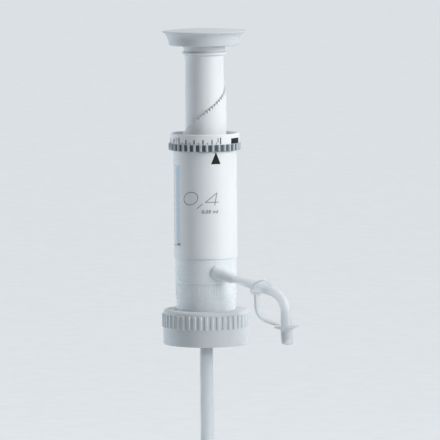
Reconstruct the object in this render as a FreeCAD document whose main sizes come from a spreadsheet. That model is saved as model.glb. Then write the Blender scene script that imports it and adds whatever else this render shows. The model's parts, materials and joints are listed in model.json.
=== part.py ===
import FreeCAD, Part
import Sketcher
import math
import os

# Bottle-top dispenser for volumes up to 2 ml, in millimetres.
# The origin is the centre of the face that rests on the bottle's mouth, +Z is up along the plunger,
# and the front, with the pointer and the print, looks along -Y. Angles round the axis start at the
# front and grow towards the right hand side, +X.

SIZES = {
    # Seat on the bottle, and the screw collar with its 45 mm thread
    "gasket_thickness": 1.2,
    "gasket_radius": 21.8,
    "neck_plug_radius": 12.6,
    "neck_plug_depth": 7.0,
    "block_flange_thickness": 1.0,
    "clip_thickness": 1.2,
    "clip_radius": 22.2,
    "clip_groove_depth": 1.2,
    "clip_gap_angle": 24,
    "collar_bore_radius": 22.6,
    "collar_skirt_radius": 26.7,
    "collar_skirt_below_seat": 15.1,
    "collar_top": 6.5,
    "collar_plate_thickness": 2.7,
    "collar_shoulder_radius": 2.2,
    "collar_foot_chamfer": 0.6,
    "collar_rib_depth": 0.8,
    "collar_rib_width": 2.0,
    "collar_rib_tip_width": 1.1,
    "collar_rib_below_seat": 4.05,
    "collar_rib_length": 8.1,
    "collar_ribs": 45,
    # Valve block, the clear moulding between the collar and the housing
    "block_setback": 0.55,
    "block_waist_radius": 18.3,
    "block_waist_top": 23.6,
    "block_top": 38.8,
    "block_rib_depth": 0.5,
    "block_rib_width": 1.0,
    "block_rib_run_out": 1.2,
    "block_step_height": 0.6,
    "block_ribs": 48,
    "spigot_height": 4.0,
    "spigot_wall": 2.8,
    "cylinder_boss_radius": 7.6,
    "cylinder_boss_height": 6.2,
    "socket_depth": 6.7,
    "channel_radius": 1.8,
    # Filling valve, screwed into the block from below
    "filling_valve_radius": 5.9,
    "filling_valve_top": 9.0,
    "filling_flange_radius": 8.4,
    "filling_flange_thickness": 2.4,
    "filling_channel_radius": 1.7,
    "suction_ball_radius": 2.5,
    "suction_ball_lift": 0.8,
    "cage_wall": 0.5,
    "cage_roof": 0.7,
    "cage_slot_width": 1.4,
    "cage_hub": 0.4,
    "nipple_length": 12.5,
    "nipple_taper": 0.5,
    "nipple_taper_length": 1.5,
    # Suction tube, cut slantwise at its lower end
    "tube_radius": 4.0,
    "tube_wall": 1.0,
    "tube_length": 226.0,
    "tube_cut_angle": 40,
    # Housing with its window
    "housing_radius": 19.75,
    "housing_wall": 1.65,
    "housing_top": 105.5,
    "window_bottom": 46.8,
    "window_top": 96.8,
    "window_angle": 76,
    "pane_thickness": 1.2,
    "pane_recess": 0.25,
    "pane_angle_gap": 0.6,
    # Guide bush that closes the housing and carries the volume ring
    "bush_depth": 7.8,
    "bush_flange_thickness": 0.6,
    "bush_neck_height": 3.7,
    "bush_neck_wall": 1.6,
    "bush_lip": 0.7,
    "bush_lip_height": 0.8,
    "bush_lip_rise": 0.3,
    "key_width": 2.4,
    "key_depth": 0.75,
    "key_stop": 3.0,
    # Volume ring
    "ring_bottom": 106.5,
    "ring_floor_thickness": 2.2,
    "ring_top": 116.1,
    "ring_overhang": 1.65,
    "ring_wall": 1.5,
    "ring_snap_gap": 0.4,
    "grip_thickness": 1.15,
    "grip_bottom": 105.7,
    "grip_top": 110.0,
    "grip_notches": 35,
    "grip_notch_turn": 3.4,
    "grip_notch_bottom": 1.5,
    "grip_notch_mouth": 2.3,
    "grip_notch_depth": 0.85,
    "lug_width": 4.0,
    "lug_nose_width": 1.5,
    "lug_height": 2.8,
    "lug_angle": 108.75,
    # Plunger tube with the stepped ledge that limits its stroke
    "plunger_bottom": 95.0,
    "plunger_top": 164.4,
    "plunger_radius": 12.05,
    "cam_radius": 13.5,
    "plunger_bore_radius": 10.3,
    "cam_low": 107.45,
    "cam_start_angle": 120,
    "cam_step_angle": 7.5,
    "cam_step_rise": 1.3,
    "cam_steps": 33,
    # Knob
    "bead_radius": 13.9,
    "bead_height": 2.5,
    "knob_neck_radius": 12.9,
    "knob_neck_height": 3.4,
    "knob_spigot_length": 5.0,
    "knob_edge_radius": 1.0,
    "knob_base_radius": 21.9,
    "knob_waist_radius": 22.95,
    "knob_waist_height": 4.9,
    "knob_flare_radius": 5.2,
    "knob_rim_radius": 26.1,
    "knob_rim_height": 8.5,
    "knob_rim_lip": 0.3,
    "knob_rim_draft": 0.1,
    "knob_height": 9.0,
    "knob_wall": 2.0,
    "knob_plate": 2.2,
    "knob_web": 1.6,
    "knob_cap_radius": 24.6,
    "knob_cap_edge": 0.7,
    "knob_cap_crown": 1.3,
    "knob_cap_flat_radius": 1.2,
    # Glass cylinder, piston and rod
    "bore_radius": 3.5,
    "cylinder_radius": 5.5,
    "cylinder_length": 61.0,
    "cylinder_mouth_chamfer": 0.6,
    "cylinder_mouth_depth": 1.0,
    "cylinder_seal_thickness": 1.2,
    "cylinder_seal_bore": 3.0,
    "nut_radius": 9.2,
    "nut_height": 7.0,
    "nut_lip": 1.8,
    "nut_lift": 1.2,
    "nut_edge_radius": 0.8,
    "nut_flat_depth": 0.7,
    "piston_bottom": 91.7,
    "piston_length": 6.3,
    "piston_chamfer": 0.5,
    "piston_groove_radius": 2.6,
    "piston_seal_height": 1.6,
    "rod_radius": 2.8,
    "screw_radius": 1.5,
    "screw_length": 9.0,
    "screw_head_radius": 4.0,
    "screw_head_height": 2.0,
    "screw_slot_width": 1.0,
    "screw_slot_depth": 1.1,
    # Discharge valve and nozzle, in an upright plane that leaves the front at 60 degrees
    "nozzle_turn": 60,
    "nozzle_root_turn": 22.8,
    "nozzle_root_sink": 1.9,
    "nozzle_root_height": 30.6,
    "nozzle_slope": 14.2,
    "chamber_radius": 5.3,
    "chamber_mouth_radius": 3.1,
    "chamber_length": 14.0,
    "chamber_bore_radius": 2.65,
    "chamber_back": 2.5,
    "seat_thickness": 1.5,
    "seat_setback": 1.2,
    "seat_hole_radius": 1.2,
    "discharge_ball_radius": 1.9,
    "spring_length": 3.5,
    "spring_wire": 0.4,
    "spring_pitch": 0.95,
    "nozzle_start_radius": 2.5,
    "nozzle_bend_radius": 3.1,
    "nozzle_end_radius": 3.35,
    "nozzle_bore_radius": 1.6,
    "nozzle_straight": 32.6,
    "bend_radius": 12.5,
    "bend_angle": 72.8,
    "nozzle_drop": 9.6,
    "tip_radius": 2.4,
    "tip_length": 9.0,
    # Nozzle cap on its strap
    "cap_radius": 3.6,
    "cap_length": 11.3,
    "cap_flange_radius": 7.5,
    "cap_flange_edge": 0.7,
    "cap_cone_height": 1.4,
    "cap_floor": 1.6,
    "cap_foot_radius": 0.9,
    "cap_taper": 0.2,
    "strap_width": 4.4,
    "strap_thickness": 1.3,
    "strap_setback": 1.1,
    "strap_bend_height": 11.7,
    "strap_bend_radius": 10.2,
    "strap_end_slope": 13,
    "strap_ring_place": 32.2,
    "strap_ring_radius": 7.0,
    "strap_ring_hole": 4.8,
    "strap_ring_thickness": 1.5,
    "strap_ring_tilt": 42.6,
    "strap_ring_turn": 28,
    # Air inlet at the back of the block
    "vent_height": 15.0,
    "vent_radius": 2.4,
    "vent_depth": 9.8,
    "vent_plug_reach": 6.5,
    "vent_head_radius": 3.4,
    "vent_head_height": 1.4,
    "vent_channel_radius": 1.0,
    "air_channel_wall": 1.6,
    # Rounded edges, clearances, and how deep a rib or nose is rooted in what carries it
    "edge_round": 0.4,
    "rooted": 0.4,
    "running_gap": 0.05,
    "guide_gap": 0.1,
    "seat_gap": 0.1,
    "loose_gap": 0.3,
}

# How far a cutter runs past the face that it leaves
PAST = 1.0

document = FreeCAD.newDocument("BottleTopDispenser")


class Size:
    """A length or angle that knows both its value and the formula it has in the spreadsheet."""

    def __init__(self, value, formula):
        self.value = value
        self.formula = formula

    def __add__(self, other):
        other = as_size(other)
        return Size(self.value + other.value, f"({self.formula} + {other.formula})")

    def __sub__(self, other):
        other = as_size(other)
        return Size(self.value - other.value, f"({self.formula} - {other.formula})")

    def __mul__(self, other):
        other = as_size(other)
        return Size(self.value * other.value, f"{self.formula} * {other.formula}")

    def __truediv__(self, other):
        other = as_size(other)
        return Size(self.value / other.value, f"{self.formula} / {other.formula}")

    def __neg__(self):
        return as_size(0) - self

    __radd__ = __add__
    __rmul__ = __mul__

    def __rsub__(self, other):
        return as_size(other) - self


def as_size(number):
    return number if isinstance(number, Size) else Size(float(number), f"({float(number)!r})")


def root(size):
    return Size(math.sqrt(size.value), f"sqrt({size.formula})")


def sine(angle):
    return Size(math.sin(math.radians(angle.value)), f"sin({angle.formula} * 1 deg)")


def cosine(angle):
    return Size(math.cos(math.radians(angle.value)), f"cos({angle.formula} * 1 deg)")


class Sheet:
    """The spreadsheet of driving sizes. Its attributes are the sizes by name."""

    def __init__(self, values):
        self.cells = document.addObject("Spreadsheet::Sheet", "Sizes")
        for row, (name, value) in enumerate(values.items(), start=1):
            self.cells.set(f"A{row}", name)
            self.cells.set(f"B{row}", str(value))
            self.cells.setAlias(f"B{row}", name)
        document.recompute()
        for name in values:
            setattr(self, name, Size(float(self.cells.get(name)), f"Sizes.{name}"))


s = Sheet(SIZES)


# Placement of sub-parts

UP = FreeCAD.Vector(0, 0, 1)


def frame_at(place, up, ahead=None):
    """A placement with its z axis along up and, where given, its x axis along ahead."""
    if ahead is None:
        return FreeCAD.Placement(place, FreeCAD.Rotation(UP, up))
    side = up.cross(ahead)
    return FreeCAD.Placement(place, FreeCAD.Rotation(ahead, side, up, "ZXY"))


def raised(height):
    return FreeCAD.Placement(FreeCAD.Vector(0, 0, height.value), FreeCAD.Rotation())


def stand(item, where):
    """Gives a sub-part its place: a height above the seat, or a whole placement."""
    if isinstance(where, Size):
        item.Placement = raised(where)
        item.setExpression(".Placement.Base.z", where.formula)
    else:
        item.Placement = where


# Sketches and features

def new_body(label, where):
    body = document.addObject("PartDesign::Body", label)
    body.Label = label
    stand(body, where)
    return body


def new_sketch(body, plane, height=None):
    sketch = body.newObject("Sketcher::SketchObject", body.Name + "_sketch")
    planes = {item.Role: item for item in body.Origin.OriginFeatures}
    sketch.AttachmentSupport = [(planes[plane], "")]
    sketch.MapMode = "FlatFace"
    if height is not None:
        sketch.AttachmentOffset = raised(height)
        sketch.setExpression(".AttachmentOffset.Base.z", height.formula)
    return sketch


def arc_between(start, end, radius):
    """An arc from start to end that turns left for a radius above 0 and right below 0."""
    chord = end - start
    half = chord.Length / 2
    rise = math.sqrt(radius * radius - half * half)
    left = FreeCAD.Vector(-chord.y, chord.x, 0).normalize()
    centre = (start + end) / 2 + left * (rise if radius > 0 else -rise)
    first, last = (start, end) if radius > 0 else (end, start)
    angles = [math.atan2(p.y - centre.y, p.x - centre.x) for p in (first, last)]
    circle = Part.Circle(centre, FreeCAD.Vector(0, 0, 1), abs(radius))
    return Part.ArcOfCircle(circle, angles[0], angles[1])


def draw(sketch, corners):
    """Draws a closed outline and holds each corner with dimensions from the sheet.
    A corner is (x, y), or (x, y, radius) where an arc leads to it from the corner before."""
    corners = [tuple(as_size(part) for part in corner) for corner in corners]
    points = [FreeCAD.Vector(corner[0].value, corner[1].value, 0) for corner in corners]
    rules = []
    formulas = {}
    ends = []
    for index, corner in enumerate(corners):
        start, end = points[index - 1], points[index]
        if len(corner) == 3:
            radius = corner[2]
            edge = sketch.addGeometry(arc_between(start, end, radius.value), False)
            ends.append((1, 2) if radius.value > 0 else (2, 1))
            size = radius if radius.value > 0 else -radius
            formulas[len(rules)] = size.formula
            rules.append(Sketcher.Constraint("Radius", edge, size.value))
        else:
            edge = sketch.addGeometry(Part.LineSegment(start, end), False)
            ends.append((1, 2))
    for index, corner in enumerate(corners):
        after = (index + 1) % len(corners)
        tail = ends[index][1]
        rules.append(Sketcher.Constraint("Coincident", index, tail, after, ends[after][0]))
        for direction, size, axis in (("DistanceX", corner[0], -2), ("DistanceY", corner[1], -1)):
            if size.formula == as_size(0).formula:
                rules.append(Sketcher.Constraint("PointOnObject", index, tail, axis))
                continue
            formulas[len(rules)] = size.formula
            rules.append(Sketcher.Constraint(direction, -1, 1, index, tail, size.value))
    sketch.addConstraint(rules)
    for index, formula in formulas.items():
        sketch.setExpression(f"Constraints[{index}]", formula)


def turned(label, where, corners, angle=None):
    """A body turned about its z axis from a half outline of (radius, height) corners."""
    body = new_body(label, where)
    sketch = new_sketch(body, "XZ_Plane")
    draw(sketch, corners)
    turn = body.newObject("PartDesign::Revolution", label + "_turn")
    turn.Profile = sketch
    turn.ReferenceAxis = (sketch, ["V_Axis"])
    if angle is None:
        turn.Angle = 360
    else:
        turn.Midplane = True
        turn.setExpression("Angle", angle.formula)
    sketch.Visibility = False
    return body


def turned_cut(body, corners, angle):
    """Cuts a turned slot of the given angle, centred on the body's +X side."""
    sketch = new_sketch(body, "XZ_Plane")
    draw(sketch, corners)
    cut = body.newObject("PartDesign::Groove", body.Name + "_slot")
    cut.Profile = sketch
    cut.ReferenceAxis = (sketch, ["V_Axis"])
    cut.Midplane = True
    cut.setExpression("Angle", angle.formula)
    return cut


def padded(body, corners, length, base=None, both_ways=False):
    sketch = new_sketch(body, "XY_Plane", base)
    draw(sketch, corners)
    pad = body.newObject("PartDesign::Pad", body.Name + "_pad")
    pad.Profile = sketch
    pad.Midplane = both_ways
    pad.setExpression("Length", length.formula)
    return pad


def pocketed(body, corners, length, base=None):
    """Cuts upwards from the sketch, along the body's +Z."""
    sketch = new_sketch(body, "XY_Plane", base)
    draw(sketch, corners)
    cut = body.newObject("PartDesign::Pocket", body.Name + "_pocket")
    cut.Profile = sketch
    cut.Reversed = True
    cut.setExpression("Length", length.formula)
    return cut


def repeated(body, feature, count):
    """Repeats a feature evenly round the body's axis."""
    pattern = body.newObject("PartDesign::PolarPattern", body.Name + "_ring")
    pattern.Originals = [feature]
    pattern.Axis = (feature.Profile[0], ["N_Axis"])
    pattern.Angle = 360
    pattern.setExpression("Occurrences", count.formula)
    body.Tip = pattern
    return pattern


def radial_bar(inner, outer, width):
    """The corners of a bar along +Y, as a sketch outline."""
    return [(-width / 2, inner), (width / 2, inner), (width / 2, outer), (-width / 2, outer)]


# Primitives and booleans

def primitive(kind, where, **sizes):
    item = document.addObject("Part::" + kind, kind)
    for name, size in sizes.items():
        item.setExpression(name, size.formula)
    stand(item, where)
    return item


def fused(label, pieces):
    whole = document.addObject("Part::MultiFuse", label)
    whole.Label = label
    whole.Shapes = pieces
    whole.Refine = True
    return whole


def less(label, base, tool):
    whole = document.addObject("Part::Cut", label)
    whole.Label = label
    whole.Base = base
    whole.Tool = tool
    whole.Refine = True
    return whole


# Heights that several sub-parts share

block_bottom = s.gasket_thickness
clip_bottom = block_bottom + s.block_flange_thickness
collar_plate_bottom = s.collar_top - s.collar_plate_thickness
socket_floor = s.block_top + s.cylinder_boss_height - s.socket_depth
cylinder_bottom = socket_floor + s.cylinder_seal_thickness
flange_bottom = -(s.neck_plug_depth + s.filling_flange_thickness)
bush_top = s.housing_top + s.bush_flange_thickness
neck_top = bush_top + s.bush_neck_height
ring_floor_top = s.ring_bottom + s.ring_floor_thickness
knob_bottom = s.plunger_top + s.running_gap * 2 + s.bead_height + s.knob_neck_height
cap_seat = s.knob_height - s.knob_cap_edge + s.running_gap
bush_bore = s.cam_radius + s.guide_gap
block_radius = s.housing_radius - s.block_setback
ring_radius = s.housing_radius + s.ring_overhang
grip_radius = ring_radius + s.grip_thickness


# Seat and collar

def bottle_gasket():
    inner = s.neck_plug_radius + s.guide_gap
    turned("bottle_gasket", as_size(0), [
        (inner, 0), (s.gasket_radius, 0),
        (s.gasket_radius, s.gasket_thickness), (inner, s.gasket_thickness),
    ])


def collar_clip():
    """Open snap ring in the block's groove. It carries the collar and lets it turn."""
    inner = s.block_waist_radius - s.clip_groove_depth + s.guide_gap
    body = turned("collar_clip", clip_bottom + s.seat_gap, [
        (inner, 0), (s.clip_radius, 0), (s.clip_radius, s.clip_thickness), (inner, s.clip_thickness),
    ])
    near, far = inner - PAST, s.clip_radius + PAST
    high = s.clip_thickness + PAST
    turned_cut(body, [(near, -PAST), (far, -PAST), (far, high), (near, high)], s.clip_gap_angle)


def screw_collar():
    height = s.collar_skirt_below_seat + s.collar_top
    plate = s.collar_skirt_below_seat + collar_plate_bottom
    hole = s.block_waist_radius + s.block_rib_depth + s.loose_gap
    shoulder = s.collar_shoulder_radius
    body = turned("screw_collar", -s.collar_skirt_below_seat, [
        (s.collar_bore_radius, 0),
        (s.collar_skirt_radius - s.collar_foot_chamfer, 0),
        (s.collar_skirt_radius, s.collar_foot_chamfer),
        (s.collar_skirt_radius, height - shoulder),
        (s.collar_skirt_radius - shoulder, height, shoulder),
        (hole, height),
        (hole, plate),
        (s.collar_bore_radius, plate),
    ])
    root_line = s.collar_skirt_radius - s.rooted
    tip_line = s.collar_skirt_radius + s.collar_rib_depth
    foot, tip = s.collar_rib_width / 2, s.collar_rib_tip_width / 2
    rib = padded(body, [(-foot, root_line), (foot, root_line), (tip, tip_line), (-tip, tip_line)],
                 s.collar_rib_length, s.collar_skirt_below_seat - s.collar_rib_below_seat)
    repeated(body, rib, s.collar_ribs)


# Valve block

def facing(turn, slope=None):
    """A direction turned from the front towards +X and, where given, sloping down from the level."""
    level = FreeCAD.Vector(sine(turn).value, -cosine(turn).value, 0)
    if slope is None:
        return level
    return level * cosine(slope).value - UP * sine(slope).value


def nozzle_frame():
    """Root of the nozzle's line, and its directions: level, and down the straight run."""
    place = facing(s.nozzle_root_turn) * (block_radius - s.nozzle_root_sink).value
    place.z = s.nozzle_root_height.value
    level = facing(s.nozzle_turn)
    return place, level, facing(s.nozzle_turn, s.nozzle_slope)


NOZZLE_ROOT, NOZZLE_LEVEL, NOZZLE_RUN = nozzle_frame()


def along_run(distance):
    return frame_at(NOZZLE_ROOT + NOZZLE_RUN * distance.value, NOZZLE_RUN)


def block_core():
    """The turned outside of the block, with its fine grip ribs below the step."""
    waist = s.block_waist_radius
    spigot = s.housing_radius - s.housing_wall - s.guide_gap
    groove = waist - s.clip_groove_depth
    groove_top = clip_bottom + s.clip_thickness + s.seat_gap * 2
    deep = s.neck_plug_depth
    body = turned("block_core", -deep, [
        (0, 0),
        (s.neck_plug_radius, 0),
        (s.neck_plug_radius, block_bottom + deep),
        (waist, block_bottom + deep),
        (waist, clip_bottom + deep),
        (groove, clip_bottom + deep),
        (groove, groove_top + deep),
        (waist, groove_top + deep),
        (waist, s.block_waist_top + deep - s.block_step_height),
        (block_radius, s.block_waist_top + deep),
        (block_radius, s.block_top + deep),
        (spigot, s.block_top + deep),
        (spigot, s.block_top + s.spigot_height + deep),
        (spigot - s.spigot_wall, s.block_top + s.spigot_height + deep),
        (spigot - s.spigot_wall, s.block_top + deep),
        (s.cylinder_boss_radius, s.block_top + deep),
        (s.cylinder_boss_radius, s.block_top + s.cylinder_boss_height + deep),
        (0, s.block_top + s.cylinder_boss_height + deep),
    ])
    base = s.collar_top + s.loose_gap
    rib = padded(body, radial_bar(waist - s.rooted, waist + s.block_rib_depth, s.block_rib_width),
                 s.block_waist_top - base - s.block_rib_run_out, base + deep)
    repeated(body, rib, s.block_ribs)
    return body


def vent_frame(depth):
    """A place on the air inlet's axis at the back, depth below the block's outside."""
    place = FreeCAD.Vector(0, s.block_waist_radius.value - depth, s.vent_height.value)
    return frame_at(place, FreeCAD.Vector(0, 1, 0))


def valve_block():
    """Core with the discharge chamber's boss, less the bores for valves, channels and air."""
    sphere = primitive("Sphere", along_run(as_size(0)), Radius=s.chamber_radius)
    cone = primitive("Cone", along_run(as_size(0)), Radius1=s.chamber_radius,
                     Radius2=s.chamber_mouth_radius, Height=s.chamber_length)
    solid = fused("block_solid", [block_core(), sphere, cone])

    filling_bore = s.filling_valve_radius + s.guide_gap
    cage = s.suction_ball_radius + s.cage_wall + s.guide_gap * 2
    cage_top = s.filling_valve_top + cage_height() + s.seat_gap * 2
    back = along_run(-s.chamber_back)
    cross = NOZZLE_ROOT - NOZZLE_RUN * (s.chamber_back.value - PAST)
    cross_foot = FreeCAD.Vector(0, 0, cross.z)
    air_line = s.neck_plug_radius - s.vent_channel_radius - s.air_channel_wall
    air = primitive("Cylinder", -s.neck_plug_depth - PAST, Radius=s.vent_channel_radius,
                    Height=s.neck_plug_depth + PAST + s.vent_height)
    air.setExpression(".Placement.Base.y", air_line.formula)
    bores = [
        primitive("Cylinder", socket_floor, Radius=s.cylinder_radius + s.guide_gap,
                  Height=s.socket_depth + PAST),
        primitive("Cylinder", s.filling_valve_top, Radius=s.channel_radius,
                  Height=socket_floor - s.filling_valve_top + PAST),
        primitive("Cylinder", s.filling_valve_top - PAST, Radius=cage,
                  Height=cage_top - s.filling_valve_top + PAST),
        primitive("Cylinder", -s.neck_plug_depth - PAST, Radius=filling_bore,
                  Height=s.neck_plug_depth + s.filling_valve_top + PAST + s.seat_gap),
        primitive("Cylinder", back, Radius=s.chamber_bore_radius,
                  Height=s.chamber_back + s.chamber_length + PAST),
        primitive("Cylinder", frame_at(cross_foot, (cross - cross_foot).normalize()),
                  Radius=s.seat_hole_radius, Height=block_radius - s.nozzle_root_sink - PAST),
        primitive("Cylinder", vent_frame(s.vent_depth.value), Radius=s.vent_radius + s.guide_gap,
                  Height=s.vent_depth + PAST * 2),
        air,
    ]
    less("valve_block", solid, fused("block_bores", bores))


def vent_plug():
    """Screw plug of the air inlet. Air enters through its middle."""
    head = s.vent_head_height
    shank = s.vent_plug_reach + s.block_rib_depth + s.running_gap
    turned("vent_plug", vent_frame(s.vent_plug_reach.value), [
        (s.vent_channel_radius, 0),
        (s.vent_radius, 0),
        (s.vent_radius, shank),
        (s.vent_head_radius, shank),
        (s.vent_head_radius, shank + head - s.edge_round),
        (s.vent_head_radius - s.edge_round, shank + head, s.edge_round),
        (s.vent_channel_radius, shank + head),
    ])


# Filling valve and suction tube

def cage_height():
    """From the valve's seat to the cage's roof outside: the ball at its full lift fits below."""
    ball = s.suction_ball_radius
    centre = root(ball * ball - s.filling_channel_radius * s.filling_channel_radius)
    return centre + ball + s.suction_ball_lift + s.running_gap * 2 + s.cage_roof


def filling_valve():
    """Screw-in valve body with the lower ball's seat on top and the tube's nipple below."""
    foot = s.nipple_length
    flange = foot + s.filling_flange_thickness
    top = flange + s.neck_plug_depth + s.filling_valve_top
    nipple = s.tube_radius - s.tube_wall - s.running_gap
    turned("filling_valve", flange_bottom - foot, [
        (s.filling_channel_radius, 0),
        (nipple - s.nipple_taper, 0),
        (nipple, s.nipple_taper_length),
        (nipple, foot),
        (s.filling_flange_radius, foot),
        (s.filling_flange_radius, flange),
        (s.filling_valve_radius, flange),
        (s.filling_valve_radius, top),
        (s.filling_channel_radius, top),
    ])


def ball_cage():
    """Inverted cup over the suction ball, with four slots in its roof for the liquid."""
    wall = s.suction_ball_radius + s.guide_gap
    outer = wall + s.cage_wall
    height = cage_height()
    body = turned("ball_cage", s.filling_valve_top + s.seat_gap, [
        (0, height - s.cage_roof),
        (wall, height - s.cage_roof),
        (wall, 0),
        (outer, 0),
        (outer, height),
        (0, height),
    ])
    width = s.cage_slot_width
    slot = pocketed(body, radial_bar(width / 2 + s.cage_hub, wall, width), s.cage_roof + PAST * 2,
                    height - s.cage_roof - PAST)
    repeated(body, slot, as_size(4))


def suction_ball():
    ball = s.suction_ball_radius
    centre = root(ball * ball - s.filling_channel_radius * s.filling_channel_radius)
    whole = primitive("Sphere", s.filling_valve_top + centre + s.running_gap, Radius=ball)
    whole.Label = "suction_ball"


def suction_tube():
    """Tube down to the bottle's floor, cut slantwise so that it can't close itself off."""
    top = flange_bottom - s.seat_gap
    bottom = top - s.tube_length
    inner = s.tube_radius - s.tube_wall
    body = turned("suction_tube", bottom, [
        (inner, 0), (s.tube_radius, 0), (s.tube_radius, s.tube_length), (inner, s.tube_length),
    ])
    slant = s.tube_radius * 2 * sine(s.tube_cut_angle) / cosine(s.tube_cut_angle)
    beyond = s.tube_radius + PAST
    sketch = new_sketch(body, "XZ_Plane")
    draw(sketch, [
        (-s.tube_radius, 0), (-beyond, 0), (-beyond, -PAST), (beyond, -PAST), (beyond, slant),
        (s.tube_radius, slant),
    ])
    cut = body.newObject("PartDesign::Pocket", "tube_end_cut")
    cut.Profile = sketch
    cut.Midplane = True
    cut.setExpression("Length", (beyond * 2).formula)


# Glass cylinder

def glass_cylinder():
    turned("glass_cylinder", cylinder_bottom, [
        (s.bore_radius, 0),
        (s.cylinder_radius, 0),
        (s.cylinder_radius, s.cylinder_length),
        (s.bore_radius + s.cylinder_mouth_chamfer, s.cylinder_length),
        (s.bore_radius, s.cylinder_length - s.cylinder_mouth_depth),
    ])


def cylinder_seal():
    turned("cylinder_seal", socket_floor, [
        (s.cylinder_seal_bore, 0),
        (s.cylinder_radius, 0),
        (s.cylinder_radius, s.cylinder_seal_thickness),
        (s.cylinder_seal_bore, s.cylinder_seal_thickness),
    ])


def cylinder_nut():
    """Cap nut that holds the cylinder on its seal, with two flats for a spanner."""
    bore = s.cylinder_boss_radius + s.guide_gap
    mouth = s.cylinder_radius + s.guide_gap
    seat = s.cylinder_boss_height - s.nut_lift + s.seat_gap
    body = turned("cylinder_nut", s.block_top + s.nut_lift, [
        (bore, 0),
        (s.nut_radius, 0),
        (s.nut_radius, s.nut_height - s.nut_edge_radius),
        (s.nut_radius - s.nut_edge_radius, s.nut_height, s.nut_edge_radius),
        (mouth, s.nut_height),
        (mouth, seat),
        (bore, seat),
    ])
    flat = s.nut_radius - s.nut_flat_depth
    beyond = s.nut_radius + PAST
    for side in (1, -1):
        pocketed(body, [
            (-s.nut_radius, flat * side), (s.nut_radius, flat * side),
            (s.nut_radius, beyond * side), (-s.nut_radius, beyond * side),
        ], s.nut_height - s.nut_lip)


# Housing

def housing():
    height = s.housing_top - s.block_top - s.running_gap
    inner = s.housing_radius - s.housing_wall
    bottom = s.block_top + s.running_gap
    body = turned("housing", half_turn(bottom), [
        (inner, 0), (s.housing_radius, 0), (s.housing_radius, height), (inner, height),
    ])
    low = s.window_bottom - bottom
    high = s.window_top - bottom
    near, far = inner - PAST, s.housing_radius + PAST
    turned_cut(body, [(near, low), (far, low), (far, high), (near, high)], s.window_angle)


def half_turn(height):
    """A place at a height, turned so that the sketch side, +X, comes to the left, -X."""
    return FreeCAD.Placement(FreeCAD.Vector(0, 0, height.value), FreeCAD.Rotation(UP, 180))


def window_pane():
    outer = s.housing_radius - s.pane_recess
    inner = outer - s.pane_thickness
    gap = s.seat_gap
    height = s.window_top - s.window_bottom - gap * 2
    turned("window_pane", half_turn(s.window_bottom + gap), [
        (inner, 0), (outer, 0), (outer, height), (inner, height),
    ], s.window_angle - s.pane_angle_gap)


def guide_bush():
    """Closes the housing, guides the plunger and keys it, and carries the volume ring on its neck."""
    deep = s.bush_depth
    plug = s.housing_radius - s.housing_wall - s.guide_gap
    neck = bush_bore + s.bush_neck_wall
    flange = deep + s.bush_flange_thickness
    top = flange + s.bush_neck_height
    body = turned("guide_bush", s.housing_top + s.running_gap - deep, [
        (bush_bore, 0),
        (plug, 0),
        (plug, deep),
        (s.housing_radius, deep),
        (s.housing_radius, flange - s.running_gap),
        (neck, flange - s.running_gap),
        (neck, top - s.bush_lip_height - s.bush_lip_rise),
        (neck + s.bush_lip, top - s.bush_lip_height),
        (neck + s.bush_lip, top - s.edge_round),
        (neck + s.bush_lip - s.edge_round, top),
        (bush_bore, top),
    ])
    key_tip = s.plunger_radius - s.key_depth + s.guide_gap
    padded(body, radial_bar(key_tip, bush_bore + s.rooted, s.key_width - s.guide_gap * 2), top)


# Volume ring

def scale_ring():
    """Cup-shaped ring that clips over the neck. The volume marks go round its rim."""
    neck = bush_bore + s.bush_neck_wall + s.guide_gap
    clear = neck + s.bush_lip
    inner = ring_radius - s.ring_wall
    floor = s.ring_floor_thickness
    height = s.ring_top - s.ring_bottom
    edge = s.edge_round
    step = neck_top - s.bush_lip_height - s.ring_bottom - s.ring_snap_gap
    turned("scale_ring", s.ring_bottom, [
        (neck, 0),
        (ring_radius, 0),
        (ring_radius, height - edge),
        (ring_radius - edge, height, edge),
        (inner + edge, height),
        (inner, height - edge, edge),
        (inner, floor),
        (clear, floor),
        (clear, step),
        (neck, step),
    ])


def grip_ring():
    """Darker ring that the fingers turn, pressed over the scale ring, with open-ended notches."""
    inner = ring_radius + s.running_gap
    height = s.grip_top - s.grip_bottom
    edge = s.edge_round
    turn = FreeCAD.Rotation(UP, s.grip_notch_turn.value)
    body = turned("grip_ring", FreeCAD.Placement(UP * s.grip_bottom.value, turn), [
        (inner, 0),
        (grip_radius - edge, 0),
        (grip_radius, edge, edge),
        (grip_radius, height - edge),
        (grip_radius - edge, height, edge),
        (inner, height),
    ])
    deep = grip_radius - s.grip_notch_depth
    beyond = grip_radius + PAST
    low, wide = s.grip_notch_bottom / 2, s.grip_notch_mouth / 2
    notch = pocketed(body, [
        (-low, deep), (low, deep), (wide, grip_radius), (wide, beyond), (-wide, beyond),
        (-wide, grip_radius),
    ], height + PAST * 2, as_size(-PAST))
    repeated(body, notch, s.grip_notches)


def stop_lug():
    """Block on the ring's floor. Its nose stands over the ledge and stops the stroke there."""
    foot = bush_bore + s.bush_neck_wall + s.bush_lip + s.loose_gap
    nose = s.cam_radius + s.loose_gap
    outer = ring_radius - s.ring_wall - s.loose_gap
    nose_bottom = neck_top + s.loose_gap
    top = nose_bottom + s.lug_height - ring_floor_top
    turn = FreeCAD.Rotation(UP, 180 - s.lug_angle.value)
    body = new_body("stop_lug", FreeCAD.Placement(UP * ring_floor_top.value, turn))
    padded(body, radial_bar(foot, outer, s.lug_width), top)
    padded(body, radial_bar(nose, foot + s.rooted, s.lug_nose_width), s.lug_height,
           nose_bottom - ring_floor_top)


# Plunger

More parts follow.
